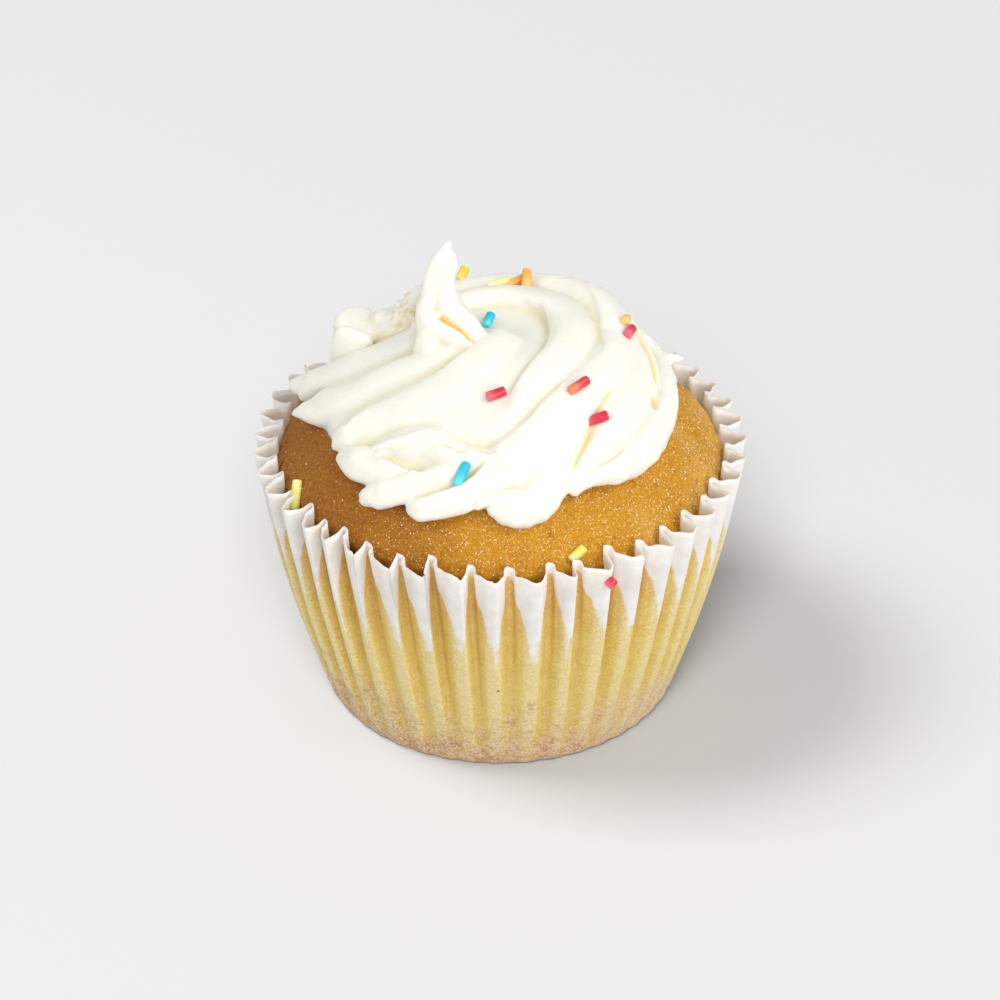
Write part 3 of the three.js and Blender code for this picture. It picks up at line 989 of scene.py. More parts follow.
@dataclass
class Swirl:
    """The piped cream: a core under its ridges, and the peak where the nozzle was lifted off."""

    centre: Vector = field(default_factory=lambda: Vector((-1.5, 0.0)))
    reach: float = 28.5
    foot_height: float = 44.0
    crown_height: float = 58.6
    fullness: float = 2.5
    fullness_swing: float = 1.1
    full_side: float = 15.0
    core_reach: float = 23.5
    core_sunk: float = 1.2
    valley: float = 0.75
    hollow_depth: float = 1.8
    hollow_radius: float = 6.5
    hollow_centre: Vector = field(default_factory=lambda: Vector((1.5, 2.5)))
    torn_place: Vector = field(default_factory=lambda: Vector((-13.4, 5.4, 57.0)))
    torn_reach: float = 3.0
    # how much painted yellow shade lies in the torn recess
    torn_shade: float = 0.3
    torn_relief: tuple[tuple[float, float], ...] = ((0.75, 0.9), (0.4, 0.45))
    torn_sunk: float = 0.35
    swell: tuple[tuple[float, float], ...] = ((0.16, 4.5), (0.05, 1.3))
    ragged_edge: float = 0.22
    ragged_from: tuple[float, float] = (22.0, 29.0)
    skin_sunk: float = 0.25
    crease_sunk: float = 0.8
    crease_reach: float = 5.0
    sides: int = 28
    end_rings: int = 5
    voxel: float = 0.33
    ridges: dict[str, Ridge] = field(
        default_factory=lambda: {
            "behind_fin": Ridge(((-18.6, 9.2, 2.1, 0.9), (-15.3, 6.4, 2.5, 1.2), (-12.2, 4.3, 2.4, 1.4),
                                 (-9.5, 2.4, 1.8, 1.4))),
            "left_fin": Ridge(((-29.3, 6.4, 1.2, 0.9), (-27.9, 5.8, 2.0, 0.7), (-26.5, 4.9, 2.6, 0.4),
                               (-22.0, 3.3, 2.4, 0.2), (-18.1, 2.4, 2.2, 0.1), (-14.4, 1.5, 2.1, 0.0),
                               (-11.0, 1.0, 2.0, 0.2), (-9.1, 1.0, 1.8, 0.4))),
            "left_leaf": Ridge(((-28.9, -0.9, 0.6, -0.2), (-27.1, -1.9, 1.6, 0.0),
                                (-24.6, -2.7, 2.8, 0.0), (-21.8, -4.2, 2.8, 0.1), (-19.3, -4.6, 2.6, 0.1),
                                (-15.4, -4.3, 2.6, 0.1), (-10.9, -4.4, 2.4, 0.1), (-7.5, -4.1, 2.2, 0.2),
                                (-4.6, -3.8, 1.6, 0.2))),
            "inner_fan": Ridge(((-22.3, -10.9, 1.8, -0.5), (-21.4, -11.1, 2.4, -0.1),
                                (-19.5, -10.9, 2.9, 0.0), (-15.3, -11.6, 3.2, 0.1),
                                (-10.8, -11.7, 3.7, 0.2), (-6.4, -10.9, 4.2, 0.1), (-2.8, -8.1, 4.2, 0.0),
                                (-0.4, -4.9, 3.8, -0.2), (0.8, -2.4, 3.4, -0.5)), flat=0.6),
            "hollow_rim": Ridge(((1.4, -18.4, 0.8, -0.6), (2.9, -15.0, 1.8, -0.1), (5.2, -11.3, 2.8, 0.1),
                                 (8.6, -6.7, 3.4, 0.2), (10.3, -1.2, 3.7, 0.2), (10.1, 3.2, 3.7, 0.2),
                                 (8.3, 6.9, 3.6, 0.2), (4.9, 9.6, 3.4, 0.1), (0.0, 10.8, 3.2, 0.0),
                                 (-4.5, 9.6, 3.0, 0.3), (-8.0, 7.2, 2.8, 0.6), (-9.3, 4.2, 2.2, 1.0))),
            "crown_coil": Ridge(((-16.2, -15.9, 2.0, -0.5), (-13.1, -16.6, 2.6, 0.0),
                                 (-9.6, -17.7, 2.6, 0.0), (-6.0, -20.3, 2.6, 0.0),
                                 (-1.4, -21.6, 2.8, 0.0), (2.7, -20.2, 3.2, 0.1), (6.9, -16.7, 3.6, 0.2),
                                 (11.1, -12.1, 3.9, 0.2), (14.6, -6.4, 3.9, 0.2), (16.9, 0.6, 3.9, 0.4),
                                 (16.3, 4.5, 4.0, 1.0), (14.0, 10.5, 3.9, 1.8), (9.0, 15.3, 3.8, 1.3),
                                 (1.5, 17.6, 3.6, 0.6), (-6.0, 16.6, 3.5, 0.5), (-12.0, 13.8, 3.0, 0.0),
                                 (-15.0, 10.5, 2.6, -0.4), (-15.5, 7.5, 2.2, -0.3))),
            "pocket_floor": Ridge(((-3.5, -17.6, 2.0, -1.0), (-0.5, -17.6, 2.6, -0.8),
                                   (1.4, -16.2, 2.4, -0.6), (2.8, -13.6, 2.0, -0.6)), flat=0.5, lean=0.0),
            "left_lobe": Ridge(((-21.4, -14.0, 1.6, -0.6), (-19.9, -16.2, 2.2, 0.0),
                                (-17.6, -18.2, 2.3, 0.0), (-15.1, -19.9, 2.0, -0.1),
                                (-13.2, -20.5, 1.4, -0.6))),
            "short_foot": Ridge(((-18.2, -21.4, 1.5, -0.6), (-16.5, -21.9, 2.0, -0.2),
                                 (-13.7, -22.3, 2.1, 0.0), (-10.3, -22.6, 2.1, 0.0),
                                 (-6.8, -22.4, 2.0, 0.0), (-3.8, -21.7, 1.6, -0.3))),
            "front_coil": Ridge(((-11.9, -25.0, 1.2, -0.4), (-10.7, -25.4, 1.8, 0.0),
                                 (-7.5, -25.3, 2.1, 0.0), (-4.1, -24.9, 2.2, 0.1),
                                 (-0.7, -23.9, 2.3, 0.1), (2.7, -22.4, 2.4, 0.1), (6.2, -20.0, 2.3, 0.0),
                                 (9.1, -16.8, 1.8, -0.3))),
            "front_lobe": Ridge(((-0.3, -26.3, 1.5, -0.5), (1.6, -26.6, 2.3, 0.0), (4.0, -25.8, 2.7, 0.0),
                                 (5.9, -24.3, 2.8, 0.1), (7.3, -22.1, 2.7, 0.1), (8.8, -19.6, 2.6, 0.1),
                                 (10.6, -16.6, 2.2, -0.1), (12.4, -12.7, 1.8, -0.4))),
            "narrow_coil": Ridge(((10.2, -22.9, 1.4, -0.5), (11.3, -21.4, 2.0, 0.0),
                                  (14.0, -17.7, 2.4, 0.1), (16.2, -13.9, 2.8, 0.1),
                                  (18.4, -8.6, 3.0, 0.1), (19.8, -3.0, 2.8, 0.0), (19.5, 1.8, 2.6, 0.0),
                                  (18.0, 5.1, 2.5, 0.3), (16.2, 12.0, 2.6, 0.4), (9.5, 18.6, 2.8, -0.2),
                                  (0.0, 21.2, 2.8, -0.5), (-9.0, 19.4, 2.6, -0.4),
                                  (-15.0, 15.5, 2.4, -0.2))),
            "outer_coil": Ridge(((12.9, -20.7, 1.5, -0.6), (15.4, -18.9, 2.3, 0.0),
                                 (18.7, -15.4, 2.7, 0.0), (21.3, -10.6, 2.6, 0.0), (23.0, -4.9, 2.3, 0.0),
                                 (23.0, 0.5, 2.2, 0.0), (21.8, 6.1, 2.1, 0.0), (19.2, 8.5, 2.4, -0.2),
                                 (16.2, 14.5, 2.8, -0.4), (10.8, 19.8, 3.3, -0.6), (3.5, 22.6, 3.4, -0.8),
                                 (-5.0, 22.4, 3.4, -0.8), (-12.3, 19.4, 3.4, -0.2),
                                 (-17.0, 16.0, 3.5, 0.2), (-20.0, 12.6, 3.4, 0.5)), flat=0.8),
        }
    )
    creases: dict[str, Crease] = field(
        default_factory=lambda: {
            "fin_top": Crease(((153, 28.6), (157, 26.0), (162, 21.2), (162, 17.5), (165, 13.4),
                               (165, 10.1))),
            "fin_to_leaf": Crease(((177, 26.9), (179, 25.3), (184, 20.4), (186, 17.9), (187, 15.2),
                                   (188, 12.5), (190, 9.6), (193, 6.9))),
            "leaf_to_fan": Crease(((-157, 23.7), (-152, 22.1), (-152, 20.5), (-150, 18.4), (-145, 16.0),
                                   (-140, 13.3), (-131, 10.5), (-123, 7.7), (-113, 5.0))),
            "below_fan": Crease(((-144, 23.9), (-140, 22.8), (-135, 22.1), (-131, 21.0), (-124, 19.8),
                                 (-118, 18.7))),
            "pocket_edge": Crease(((-112, 19.8), (-108, 20.2), (-104, 20.6), (-100, 21.2), (-96, 20.9),
                                   (-90, 21.4), (-85, 21.4)), lip=0.3, dip=0.6, dip_width=2.6, groove=0.0),
            "hollow_edge": Crease(((-80, 14.4), (-76, 13.2), (-66, 11.7), (-51, 10.0), (-35, 9.4),
                                   (0, 8.4), (33, 9.1), (49, 8.9),
                                   (67, 9.3)), dip=0.25, groove=0.1),
            "crown_line": Crease(((-23, 16.4), (-9, 15.8), (9, 15.6), (28, 16.0),
                                  (46, 17.2)), lip=0.2, dip=0.15, dip_width=1.6, groove=0.0),
            "front_line": Crease(((-81, 19.2), (-73, 18.1), (-63, 16.3), (-54, 15.6),
                                  (-47, 15.1)), lip=0.15, dip=0.3, dip_width=2.0, groove=0.0),
            "low_line": Crease(((-64, 25.2), (-60, 24.0), (-56, 23.1), (-51, 22.2), (-48, 21.5),
                                (-37, 20.0), (-26, 19.8)), groove=0.35, yellow_shade=0.3),
            "crack": Crease(((181, 7.0, 2.8), (186, 6.7, 2.4), (203, 5.5, 1.5), (228, 4.7, 1.0),
                             (252, 5.3, 0.6)), lip=0.1, dip=0.1, groove=0.8, groove_width=0.3, yellow_shade=0.9),
            # grooves with painted yellow shade along them
            "shaded_streak": Crease(((-11, 23.3), (-8, 23.1), (-4, 22.7), (3, 21.6), (12, 20.3), (19, 19.7)),
                             lip=0.2, dip=0.3, groove=1.2, groove_width=0.4, yellow_shade=0.9),
            "shaded_streak_end": Crease(((-21, 24.2), (-18, 24.0), (-15, 23.7)), lip=0.1, dip=0.2, groove=0.5,
                                 groove_width=0.5, yellow_shade=0.5),
            "right_line": Crease(((-61, 26.0), (-58, 25.7), (-53, 25.3), (-47, 25.1), (-41, 24.8))),
            "foot_line": Crease(((-115, 26.7), (-108, 25.8), (-104, 25.1), (-101, 24.6), (-97, 23.8),
                                 (-93, 22.7), (-90, 22.0)), groove=0.5),
            "lobe_line": Crease(((-95, 26.9), (-94, 26.7), (-91, 25.9), (-85, 25.3),
                                 (-80, 25.0)), groove=0.1),
            "branch_line": Crease(((-131, 22.9), (-127, 23.0), (-123, 23.1), (-119, 23.3), (-116, 23.3),
                                   (-112, 23.5)), groove=0.5),
        }
    )
    wisps: dict[str, Wisp] = field(
        default_factory=lambda: {
            "main_strand": Wisp(((-9.3, -1.6, 55.6), (-9.7, -0.6, 58.4), (-10.2, 0.2, 60.4),
                                 (-9.9, 0.6, 62.4), (-9.5, 1.1, 64.9), (-8.6, 1.6, 67.3),
                                 (-7.7, 1.9, 69.1), (-7.15, 2.0, 70.1)),
                                (2.7, 2.2, 1.6, 1.1, 1.2, 1.25, 0.9, 0.6)),
            "right_strand": Wisp(((-1.8, -3.9, 56.2), (-2.4, -3.2, 57.1), (-3.4, -2.3, 58.1),
                                  (-4.8, -1.3, 59.2), (-6.6, -0.4, 60.5), (-7.5, 0.5, 62.4),
                                  (-7.5, 1.2, 65.0), (-7.0, 1.6, 67.2), (-6.65, 1.9, 68.3)),
                                 (0.6, 1.05, 1.4, 1.8, 1.75, 1.6, 1.1, 1.25, 0.75)),
            "crack_floor": Wisp(((-9.5, -1.0, 59.0), (-6.8, -2.1, 58.0), (-4.1, -3.7, 56.9),
                                 (-1.8, -4.9, 55.8)), (1.9, 1.8, 1.7, 1.4)),
            "inner_face": Wisp(((-4.0, -0.6, 55.0), (-5.8, 0.6, 58.0), (-7.4, 1.5, 61.0),
                                (-8.2, 2.0, 64.5)), (2.6, 2.6, 2.1, 1.2)),
            "back_strand": Wisp(((-8.5, 4.5, 54.5), (-8.5, 3.6, 59.0), (-8.4, 2.9, 63.0),
                                 (-8.0, 2.5, 67.0), (-7.5, 2.2, 69.8)), (3.0, 2.4, 1.8, 1.3, 0.6)),
            "torn_side": Wisp(((-15.5, 7.0, 53.0), (-13.6, 6.2, 56.2), (-12.2, 5.2, 58.7),
                               (-10.9, 4.0, 61.2)), (2.6, 2.0, 1.5, 1.0)),
            "broken_end": Wisp(((-20.3, 8.9, 46.0), (-20.3, 8.5, 50.0), (-20.0, 8.2, 53.2)),
                               (3.8, 3.9, 3.7), blunt=0.3),
            "small_lump": Wisp(((-17.4, 8.8, 51.0), (-16.4, 7.6, 54.2)), (2.2, 1.9)),
            "lobe_seat": Wisp(((-0.4, -25.8, 45.5), (0.9, -25.8, 45.75), (2.2, -25.5, 45.9)),
                              (1.0, 1.05, 1.0)),
            "edge_flick": Wisp(((20.5, 4.5, 49.6), (23.2, 4.9, 49.5), (25.9, 5.2, 49.3)), (1.5, 1.0, 0.4)),
        }
    )

    def crest(self, x: float, y: float) -> float:
        """Return the height of the ridges' crests at a place in plan.

        Args:
            x: the place.
            y: the place.

        Returns:
            The height.
        """
        dx, dy = x - self.centre.x, y - self.centre.y
        share = min(1.15, math.hypot(dx, dy) / self.reach)
        swing = math.cos(math.atan2(dy, dx) - math.radians(self.full_side))
        fullness = self.fullness + self.fullness_swing * swing
        return lerp(self.crown_height, self.foot_height, share**fullness)

    def slope(self, x: float, y: float) -> Vector:
        """Return the direction out of the dome of crests at a place in plan.

        Args:
            x: the place.
            y: the place.

        Returns:
            The direction, one long.
        """
        small = 0.2
        rise_x = self.crest(x + small, y) - self.crest(x - small, y)
        rise_y = self.crest(x, y + small) - self.crest(x, y - small)
        return Vector((-rise_x, -rise_y, 2.0 * small)).normalized()

    def rope(
        self,
        path: list[Vector],
        out: list[Vector],
        reach: Callable[[float, float], float],
        blunt: float = 1.0,
    ) -> bmesh.types.BMesh:
        """Make a closed rope with domed ends.

        Args:
            path: the points of its middle line, evenly spaced.
            out: at each of them, the direction in which its crest points.
            reach: how far out it goes, for a share of its length and an angle from its crest.
            blunt: how far its ends bulge, as a share of a half ball.

        Returns:
            The rope as a bmesh of its own.
        """
        body = len(path) - 1
        rows = body + 2 * self.end_rings
        shape = bmesh.new()
        bmesh.ops.create_cone(shape, cap_ends=True, segments=self.sides, radius1=1.0, radius2=1.0,
                              depth=1.0)
        upright = [e for e in shape.edges if abs(e.verts[0].co.z - e.verts[1].co.z) > 0.5]
        bmesh.ops.subdivide_edges(shape, edges=upright, cuts=rows - 1, use_grid_fill=True)
        for vert in shape.verts:
            row = round((vert.co.z + 0.5) * rows) - self.end_rings
            ring = min(body, max(0, row))
            angle = math.atan2(vert.co.y, vert.co.x)
            along = (path[min(body, ring + 1)] - path[max(0, ring - 1)]).normalized()
            up = (out[ring] - along * out[ring].dot(along)).normalized()
            side = along.cross(up)
            span = reach(ring / body, angle)
            dome = (row - ring) / (self.end_rings + 0.5) * math.pi / 2
            across = up * math.cos(angle) + side * math.sin(angle)
            outward = across * span * math.cos(dome) ** blunt
            vert.co = path[ring] + outward + along * span * blunt * math.sin(dome)
        bmesh.ops.recalc_face_normals(shape, faces=shape.faces)
        return shape

    def ridge(self, spec: Ridge) -> bmesh.types.BMesh:
        """Make one ridge of the swirl: a flat ribbon whose inner edge stands up.

        Args:
            spec: the ridge.

        Returns:
            The ridge as a closed rope.
        """
        places = along_knots([Vector((x, y, 0.0)) for x, y, _, _ in spec.knots], 5)
        sizes = along_knots([Vector((width, lift, 0.0)) for _, _, width, lift in spec.knots], 5)
        last = len(places) - 1

        def reach(t: float, angle: float) -> float:
            """Return how far out the ridge goes at an angle from upright.

            Args:
                t: the share of the ridge's length.
                angle: the angle.

            Returns:
                How far it goes.
            """
            turn = angle - math.radians(spec.lean)
            across = abs(math.sin(turn))
            upward = abs(math.cos(turn)) / spec.flat
            return sizes[round(t * last)].x * (across**2.3 + upward**2.3) ** (-1 / 2.3)

        path, out = [], []
        for spot, size in zip(places, sizes):
            height = self.crest(spot.x, spot.y) - 0.95 * spec.flat * size.x + size.y
            path.append(Vector((spot.x, spot.y, height)))
            out.append(self.slope(spot.x, spot.y))
        return self.rope(path, out, reach)

    def wisp(self, spec: Wisp) -> bmesh.types.BMesh:
        """Make one wisp of drawn-out cream.

        Args:
            spec: the wisp.

        Returns:
            The wisp as a closed rope.
        """
        path = along_knots([Vector(p) for p in spec.points], 8)
        last = len(spec.points) - 1
        girths = spec.girths

        def reach(t: float, angle: float) -> float:
            """Return the wisp's girth, the same all round.

            Args:
                t: the share of the wisp's length.
                angle: the angle, which makes no difference.

            Returns:
                The girth.
            """
            place = min(last - 1e-6, t * last)
            knot = int(place)
            return lerp(girths[knot], girths[knot + 1], place - knot)

        return self.rope(path, [Vector((0.0, -1.0, 0.3))] * len(path), reach, spec.blunt)

    def core(self, sponge: Sponge) -> bmesh.types.BMesh:
        """Make the body of cream under the ridges, down into the sponge's crust.

        Args:
            sponge: the sponge that it lies on.

        Returns:
            The core.
        """
        shape = bmesh.new()
        bmesh.ops.create_uvsphere(shape, u_segments=72, v_segments=36, radius=1.0)
        for vert in shape.verts:
            x = self.centre.x + self.core_reach * vert.co.x
            y = self.centre.y + self.core_reach * vert.co.y
            away = math.hypot(x - self.hollow_centre.x, y - self.hollow_centre.y)
            hollow = self.hollow_depth * math.exp(-((away / self.hollow_radius) ** 2))
            high = self.crest(x, y) - self.valley - hollow
            low = sponge.top(x, y) - self.core_sunk
            vert.co = Vector((x, y, high if vert.co.z > 0.02 else min(low, high - 0.5)))
        bmesh.ops.recalc_face_normals(shape, faces=shape.faces)
        return shape

    def build(self, sponge: Sponge) -> bpy.types.Object:
        """Pipe the cream onto a sponge and dress it.

        Args:
            sponge: the sponge that it lies on.

        Returns:
            The piece.
        """
        parts = [self.core(sponge)]
        parts += [self.ridge(spec) for spec in self.ridges.values()]
        parts += [self.wisp(spec) for spec in self.wisps.values()]
        piece = finished("piped_cream", joined(parts))
        remesh = piece.modifiers.new("one_skin", "REMESH")
        remesh.mode = "VOXEL"
        remesh.voxel_size = self.voxel * MM
        remesh.use_smooth_shade = True
        soften = piece.modifiers.new("soften", "SMOOTH")
        soften.factor = 0.5
        soften.iterations = 6
        baked(piece)
        yellow_shades = self.crease(piece)
        self.settle(piece, sponge)
        store(piece, "hollow", hollowness(piece.data, 60))
        store(piece, "yellow_shade", yellow_shades)
        piece.data.materials.append(CreamFinish().material())
        return piece

    def crease(self, piece: bpy.types.Object) -> np.ndarray:
        """Press the creases into the skin and work out the painted yellow shade along them and in the torn
        recess.

        Args:
            piece: the cream as one skin.

        Returns:
            How much painted yellow shade lies at each vertex, from 0 to 1.
        """
        samples = []
        for spec in self.creases.values():
            knots = []
            for azimuth, radius, *lift in spec.points:
                spot = polar(radius, azimuth, 0.0) + self.centre.to_3d()
                height = self.crest(spot.x, spot.y) - self.crease_sunk + sum(lift)
                knots.append(Vector((spot.x, spot.y, height)))
            path = along_knots(knots, 24)
            last = len(path) - 1
            for i, spot in enumerate(path):
                ahead = (path[min(last, i + 1)] - path[max(0, i - 1)]).normalized()
                outward = ahead.cross(self.slope(spot.x, spot.y))
                fade = smoothstep(i / last, 0.0, 0.2) * smoothstep(1.0 - i / last, 0.0, 0.2)
                samples.append((spot, outward, spec, fade))
        tree = KDTree(len(samples))
        for i, (spot, _, _, _) in enumerate(samples):
            tree.insert(spot, i)
        tree.balance()
        yellow_shades = np.zeros(len(piece.data.vertices))
        moved = []
        for vert in piece.data.vertices:
            place = vert.co / MM
            shift = 0.0
            _, index, gap = tree.find(place)
            if gap < self.crease_reach:
                spot, outward, spec, fade = samples[index]
                off = (place - spot).dot(outward)
                lifted = smoothstep(off, -0.2, 0.2)
                lip = spec.lip * math.exp(-((off / spec.lip_width) ** 2))
                dip = spec.dip * math.exp(-((off / spec.dip_width) ** 2))
                groove = math.exp(-((off / spec.groove_width) ** 2))
                shift = fade * (lifted * lip - (1.0 - lifted) * dip - spec.groove * groove)
                # Painted yellow shade along the groove.
                yellow_shades[vert.index] = spec.yellow_shade * fade * math.exp(-((off / spec.groove_width) ** 2))
            # Painted yellow shade in patches over the torn recess.
            patchy = smoothstep(noise.noise(place / 0.8), -0.3, 0.4)
            torn = self.torn_shade * self.roughness(place) * patchy
            yellow_shades[vert.index] = max(yellow_shades[vert.index], torn)
            moved.append(shift)
        count = len(moved)
        places = np.empty(count * 3)
        normals = np.empty(count * 3)
        piece.data.vertices.foreach_get("co", places)
        piece.data.vertices.foreach_get("normal", normals)
        places += normals * np.repeat(moved, 3) * MM
        piece.data.vertices.foreach_set("co", places)
        piece.data.update()
        return yellow_shades

    def roughness(self, place: Vector) -> float:
        """Return how torn the cream is at a place, from 0 to 1."""
        return math.exp(-(((place - self.torn_place).length / self.torn_reach) ** 4))

    def settle(self, piece: bpy.types.Object, sponge: Sponge) -> None:
        """Give the skin its slight unevenness and lay its underside on the sponge.

        Args:
            piece: the cream as one skin.
            sponge: the sponge that it lies on.
        """
        count = len(piece.data.vertices)
        places = np.empty(count * 3)
        normals = np.empty(count * 3)
        piece.data.vertices.foreach_get("co", places)
        piece.data.vertices.foreach_get("normal", normals)
        settled = []
        for spot, normal in zip(places.reshape(-1, 3) / MM, normals.reshape(-1, 3)):
            spot, normal = Vector(spot), Vector(normal)
            away = math.hypot(spot.x - self.centre.x, spot.y - self.centre.y)
            outer = smoothstep(away, *self.ragged_from)
            swell = sum(depth * noise.noise(spot / size) for depth, size in self.swell)
            ragged = self.ragged_edge * outer * noise.noise(spot / 1.4 + Vector((5.0, 1.0, 9.0)))
            torn = sum(depth * noise.noise(spot / size) for depth, size in self.torn_relief)
            ragged += self.roughness(spot) * (torn - self.torn_sunk)
            spot += normal * (swell + ragged)
            spot.z = max(spot.z, sponge.top(spot.x, spot.y) - self.skin_sunk)
            settled.append(spot * MM)
        piece.data.vertices.foreach_set("co", np.array(settled).ravel())
        piece.data.update()


# ---- sprinkles -----------------------------------------------------------------------------------


@dataclass(frozen=True)
class Sprinkle:
    """One sprinkle: its place in plan, its heading, how far one end stands up, or how steep it lies.

    On a wall, x is its azimuth in degrees and y its height.
    """

    sugar: Sugar
    x: float
    y: float
    heading: float
    tip: float = 0.0
    length: float = 3.6
    on_wall: bool = False
    climb: float | None = None


@dataclass
class Sprinkles:
    """The sugar sprinkles, which sink a little into what they lie on."""

    radius: float = 0.7
    rounding: float = 0.3
    unevenness: float = 0.06
    sunk: float = 0.45
    sides: int = 20
    cream: tuple[Sprinkle, ...] = (
        Sprinkle(Sugar.TURQUOISE, -1.7, 3.0, 70, 30, 2.4),
        Sprinkle(Sugar.TURQUOISE, -5.3, -23.2, 61, climb=36),
        Sprinkle(Sugar.RED, -0.5, -13.6, 20, 0, 2.8),
        Sprinkle(Sugar.CORAL, 10.7, -13.0, 44, 10, 3.4),
        Sprinkle(Sugar.RED, 13.3, -15.1, 14),
        Sprinkle(Sugar.RED, 18.0, 1.3, 67, 0, 2.4),
        Sprinkle(Sugar.YELLOW, -5.2, 18.2, 20, 50, 2.2),
        Sprinkle(Sugar.PALE, -0.2, 14.4, 20, 8, 3.4),
        Sprinkle(Sugar.ORANGE, 2.0, 15.0, 25),
        Sprinkle(Sugar.ORANGE, 3.6, 13.2, 100, 75, 3.2),
        Sprinkle(Sugar.ORANGE, 17.5, 3.3, 67, 0, 1.4),
    )
    sponge: tuple[Sprinkle, ...] = (
        Sprinkle(Sugar.LIME, -28.2, -13.2, -97, 0, 4.3, climb=-50),
        Sprinkle(Sugar.LIME, 10.4, -28.3, 34, 0, 2.7, climb=30),
    )
    case: tuple[Sprinkle, ...] = (Sprinkle(Sugar.RED, -64.4, 36.2, 40, 0, 1.5, on_wall=True),)
    far_count: int = 6
    far_series: int = 7
    far_spread: tuple[float, float] = (56.0, 124.0)
    far_reach: tuple[float, float] = (0.8, 0.86)

    def far(self, swirl: Swirl) -> list[Sprinkle]:
        """Return the sprinkles that fell on the far side of the swirl.

        Args:
            swirl: the cream that they lie on.

        Returns:
            The sprinkles.
        """
        found = []
        colours = (Sugar.RED, Sugar.YELLOW, Sugar.TURQUOISE, Sugar.PALE, Sugar.CORAL, Sugar.ORANGE)
        for i in range(self.far_count):
            share = (i + 0.5 + 0.4 * draw(i, self.far_series)) / self.far_count
            azimuth = lerp(*self.far_spread, share)
            reach = swirl.reach * lerp(*self.far_reach, 0.5 + 0.5 * draw(i, self.far_series + 1))
            place = swirl.centre + polar(reach, azimuth, 0.0).to_2d()
            found.append(Sprinkle(colours[i], place.x, place.y, 180.0 * draw(i, self.far_series + 2)))
        return found

    def seat(self, tree: BVHTree, spec: Sprinkle) -> Matrix:
        """Work out where a sprinkle lies.

        Args:
            tree: the surface that it lies on, in metres.
            spec: the sprinkle.

        Returns:
            The transform that takes a rod along +Z at the origin, in mm, to its place.
        """
        turn = math.radians(spec.heading)
        if spec.on_wall:
            outward = polar(1.0, spec.x, 0.0)
            start = outward * 0.07 + Vector((0.0, 0.0, spec.y * MM))
            point, normal, _, _ = tree.ray_cast(start, -outward)
            level = Vector((0.0, math.cos(turn), math.sin(turn)))
            along = Matrix.Rotation(math.radians(spec.x), 3, "Z") @ level
        else:
            start = Vector((spec.x * MM, spec.y * MM, 0.12))
            point, normal, _, _ = tree.ray_cast(start, Vector((0.0, 0.0, -1.0)))
            along = Vector((math.cos(turn), math.sin(turn), 0.0))
        if spec.climb is None:
            along = (along - normal * along.dot(normal)).normalized()
        else:
            along.z = math.tan(math.radians(spec.climb))
            along.normalize()
        lifted = Quaternion(along.cross(normal), math.radians(spec.tip)) @ along
        standing = (spec.length / 2 - self.radius) * math.sin(math.radians(spec.tip))
        lift = self.radius * (1.0 - self.sunk) + standing
        middle = point / MM + normal * lift
        return Matrix.Translation(middle) @ lifted.to_track_quat("Z", "Y").to_matrix().to_4x4()

    def rod(self, spec: Sprinkle, matrix: Matrix, index: int) -> bmesh.types.BMesh:
        """Make one sprinkle: a rod with rounded ends, a little uneven.

        Args:
            spec: the sprinkle.
            matrix: the transform that takes it from the origin to its place.
            index: its number, for its unevenness.

        Returns:
            The rod, with how far along it each vertex lies in the layer along.
        """
        shape = bmesh.new()
        along = shape.verts.layers.float.new("along")
        bmesh.ops.create_cone(shape, cap_ends=True, segments=self.sides, radius1=self.radius,
                              radius2=self.radius, depth=spec.length)
        ends = [e for e in shape.edges if abs(e.verts[0].co.z - e.verts[1].co.z) < 1e-6]
        bmesh.ops.bevel(shape, geom=ends, offset=self.rounding, segments=3, profile=0.5,
                        affect="EDGES", material=-1)
        for vert in shape.verts:
            vert[along] = vert.co.z / spec.length + 0.5
            swell = 1.0 + self.unevenness * noise.noise(vert.co * 1.1 + Vector((index * 3.7, 0.0, 0.0)))
            vert.co = Vector((vert.co.x * swell, vert.co.y * swell, vert.co.z))
        bmesh.ops.transform(shape, matrix=matrix, verts=shape.verts)
        return shape

    def build(self, surfaces: dict[str, bpy.types.Object], swirl: Swirl) -> list[bpy.types.Object]:
        """Lay every sprinkle and dress them, one piece for each colour and surface.

        Args:
            surfaces: the piece that each group of sprinkles lies on, by the name of its node.
            swirl: the cream, for the ones on its far side.

        Returns:
            The pieces.
        """
        groups = {
            "cream": [*self.cream, *self.far(swirl)],
            "cake": list(self.sponge),
            "paper_case": list(self.case),
        }
        pieces = []
        for node, specs in groups.items():
            tree = surface_of(surfaces[node])
            for sugar in Sugar:
                chosen = [s for s in specs if s.sugar is sugar]
                if not chosen:
                    continue
                rods = [self.rod(spec, self.seat(tree, spec), i) for i, spec in enumerate(chosen)]
                piece = finished(f"sprinkles_{sugar.name.lower()}_on_{node}", joined(rods))
                piece.data.materials.append(sugar.material())
                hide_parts(node)
                pieces.append(piece)
        return pieces


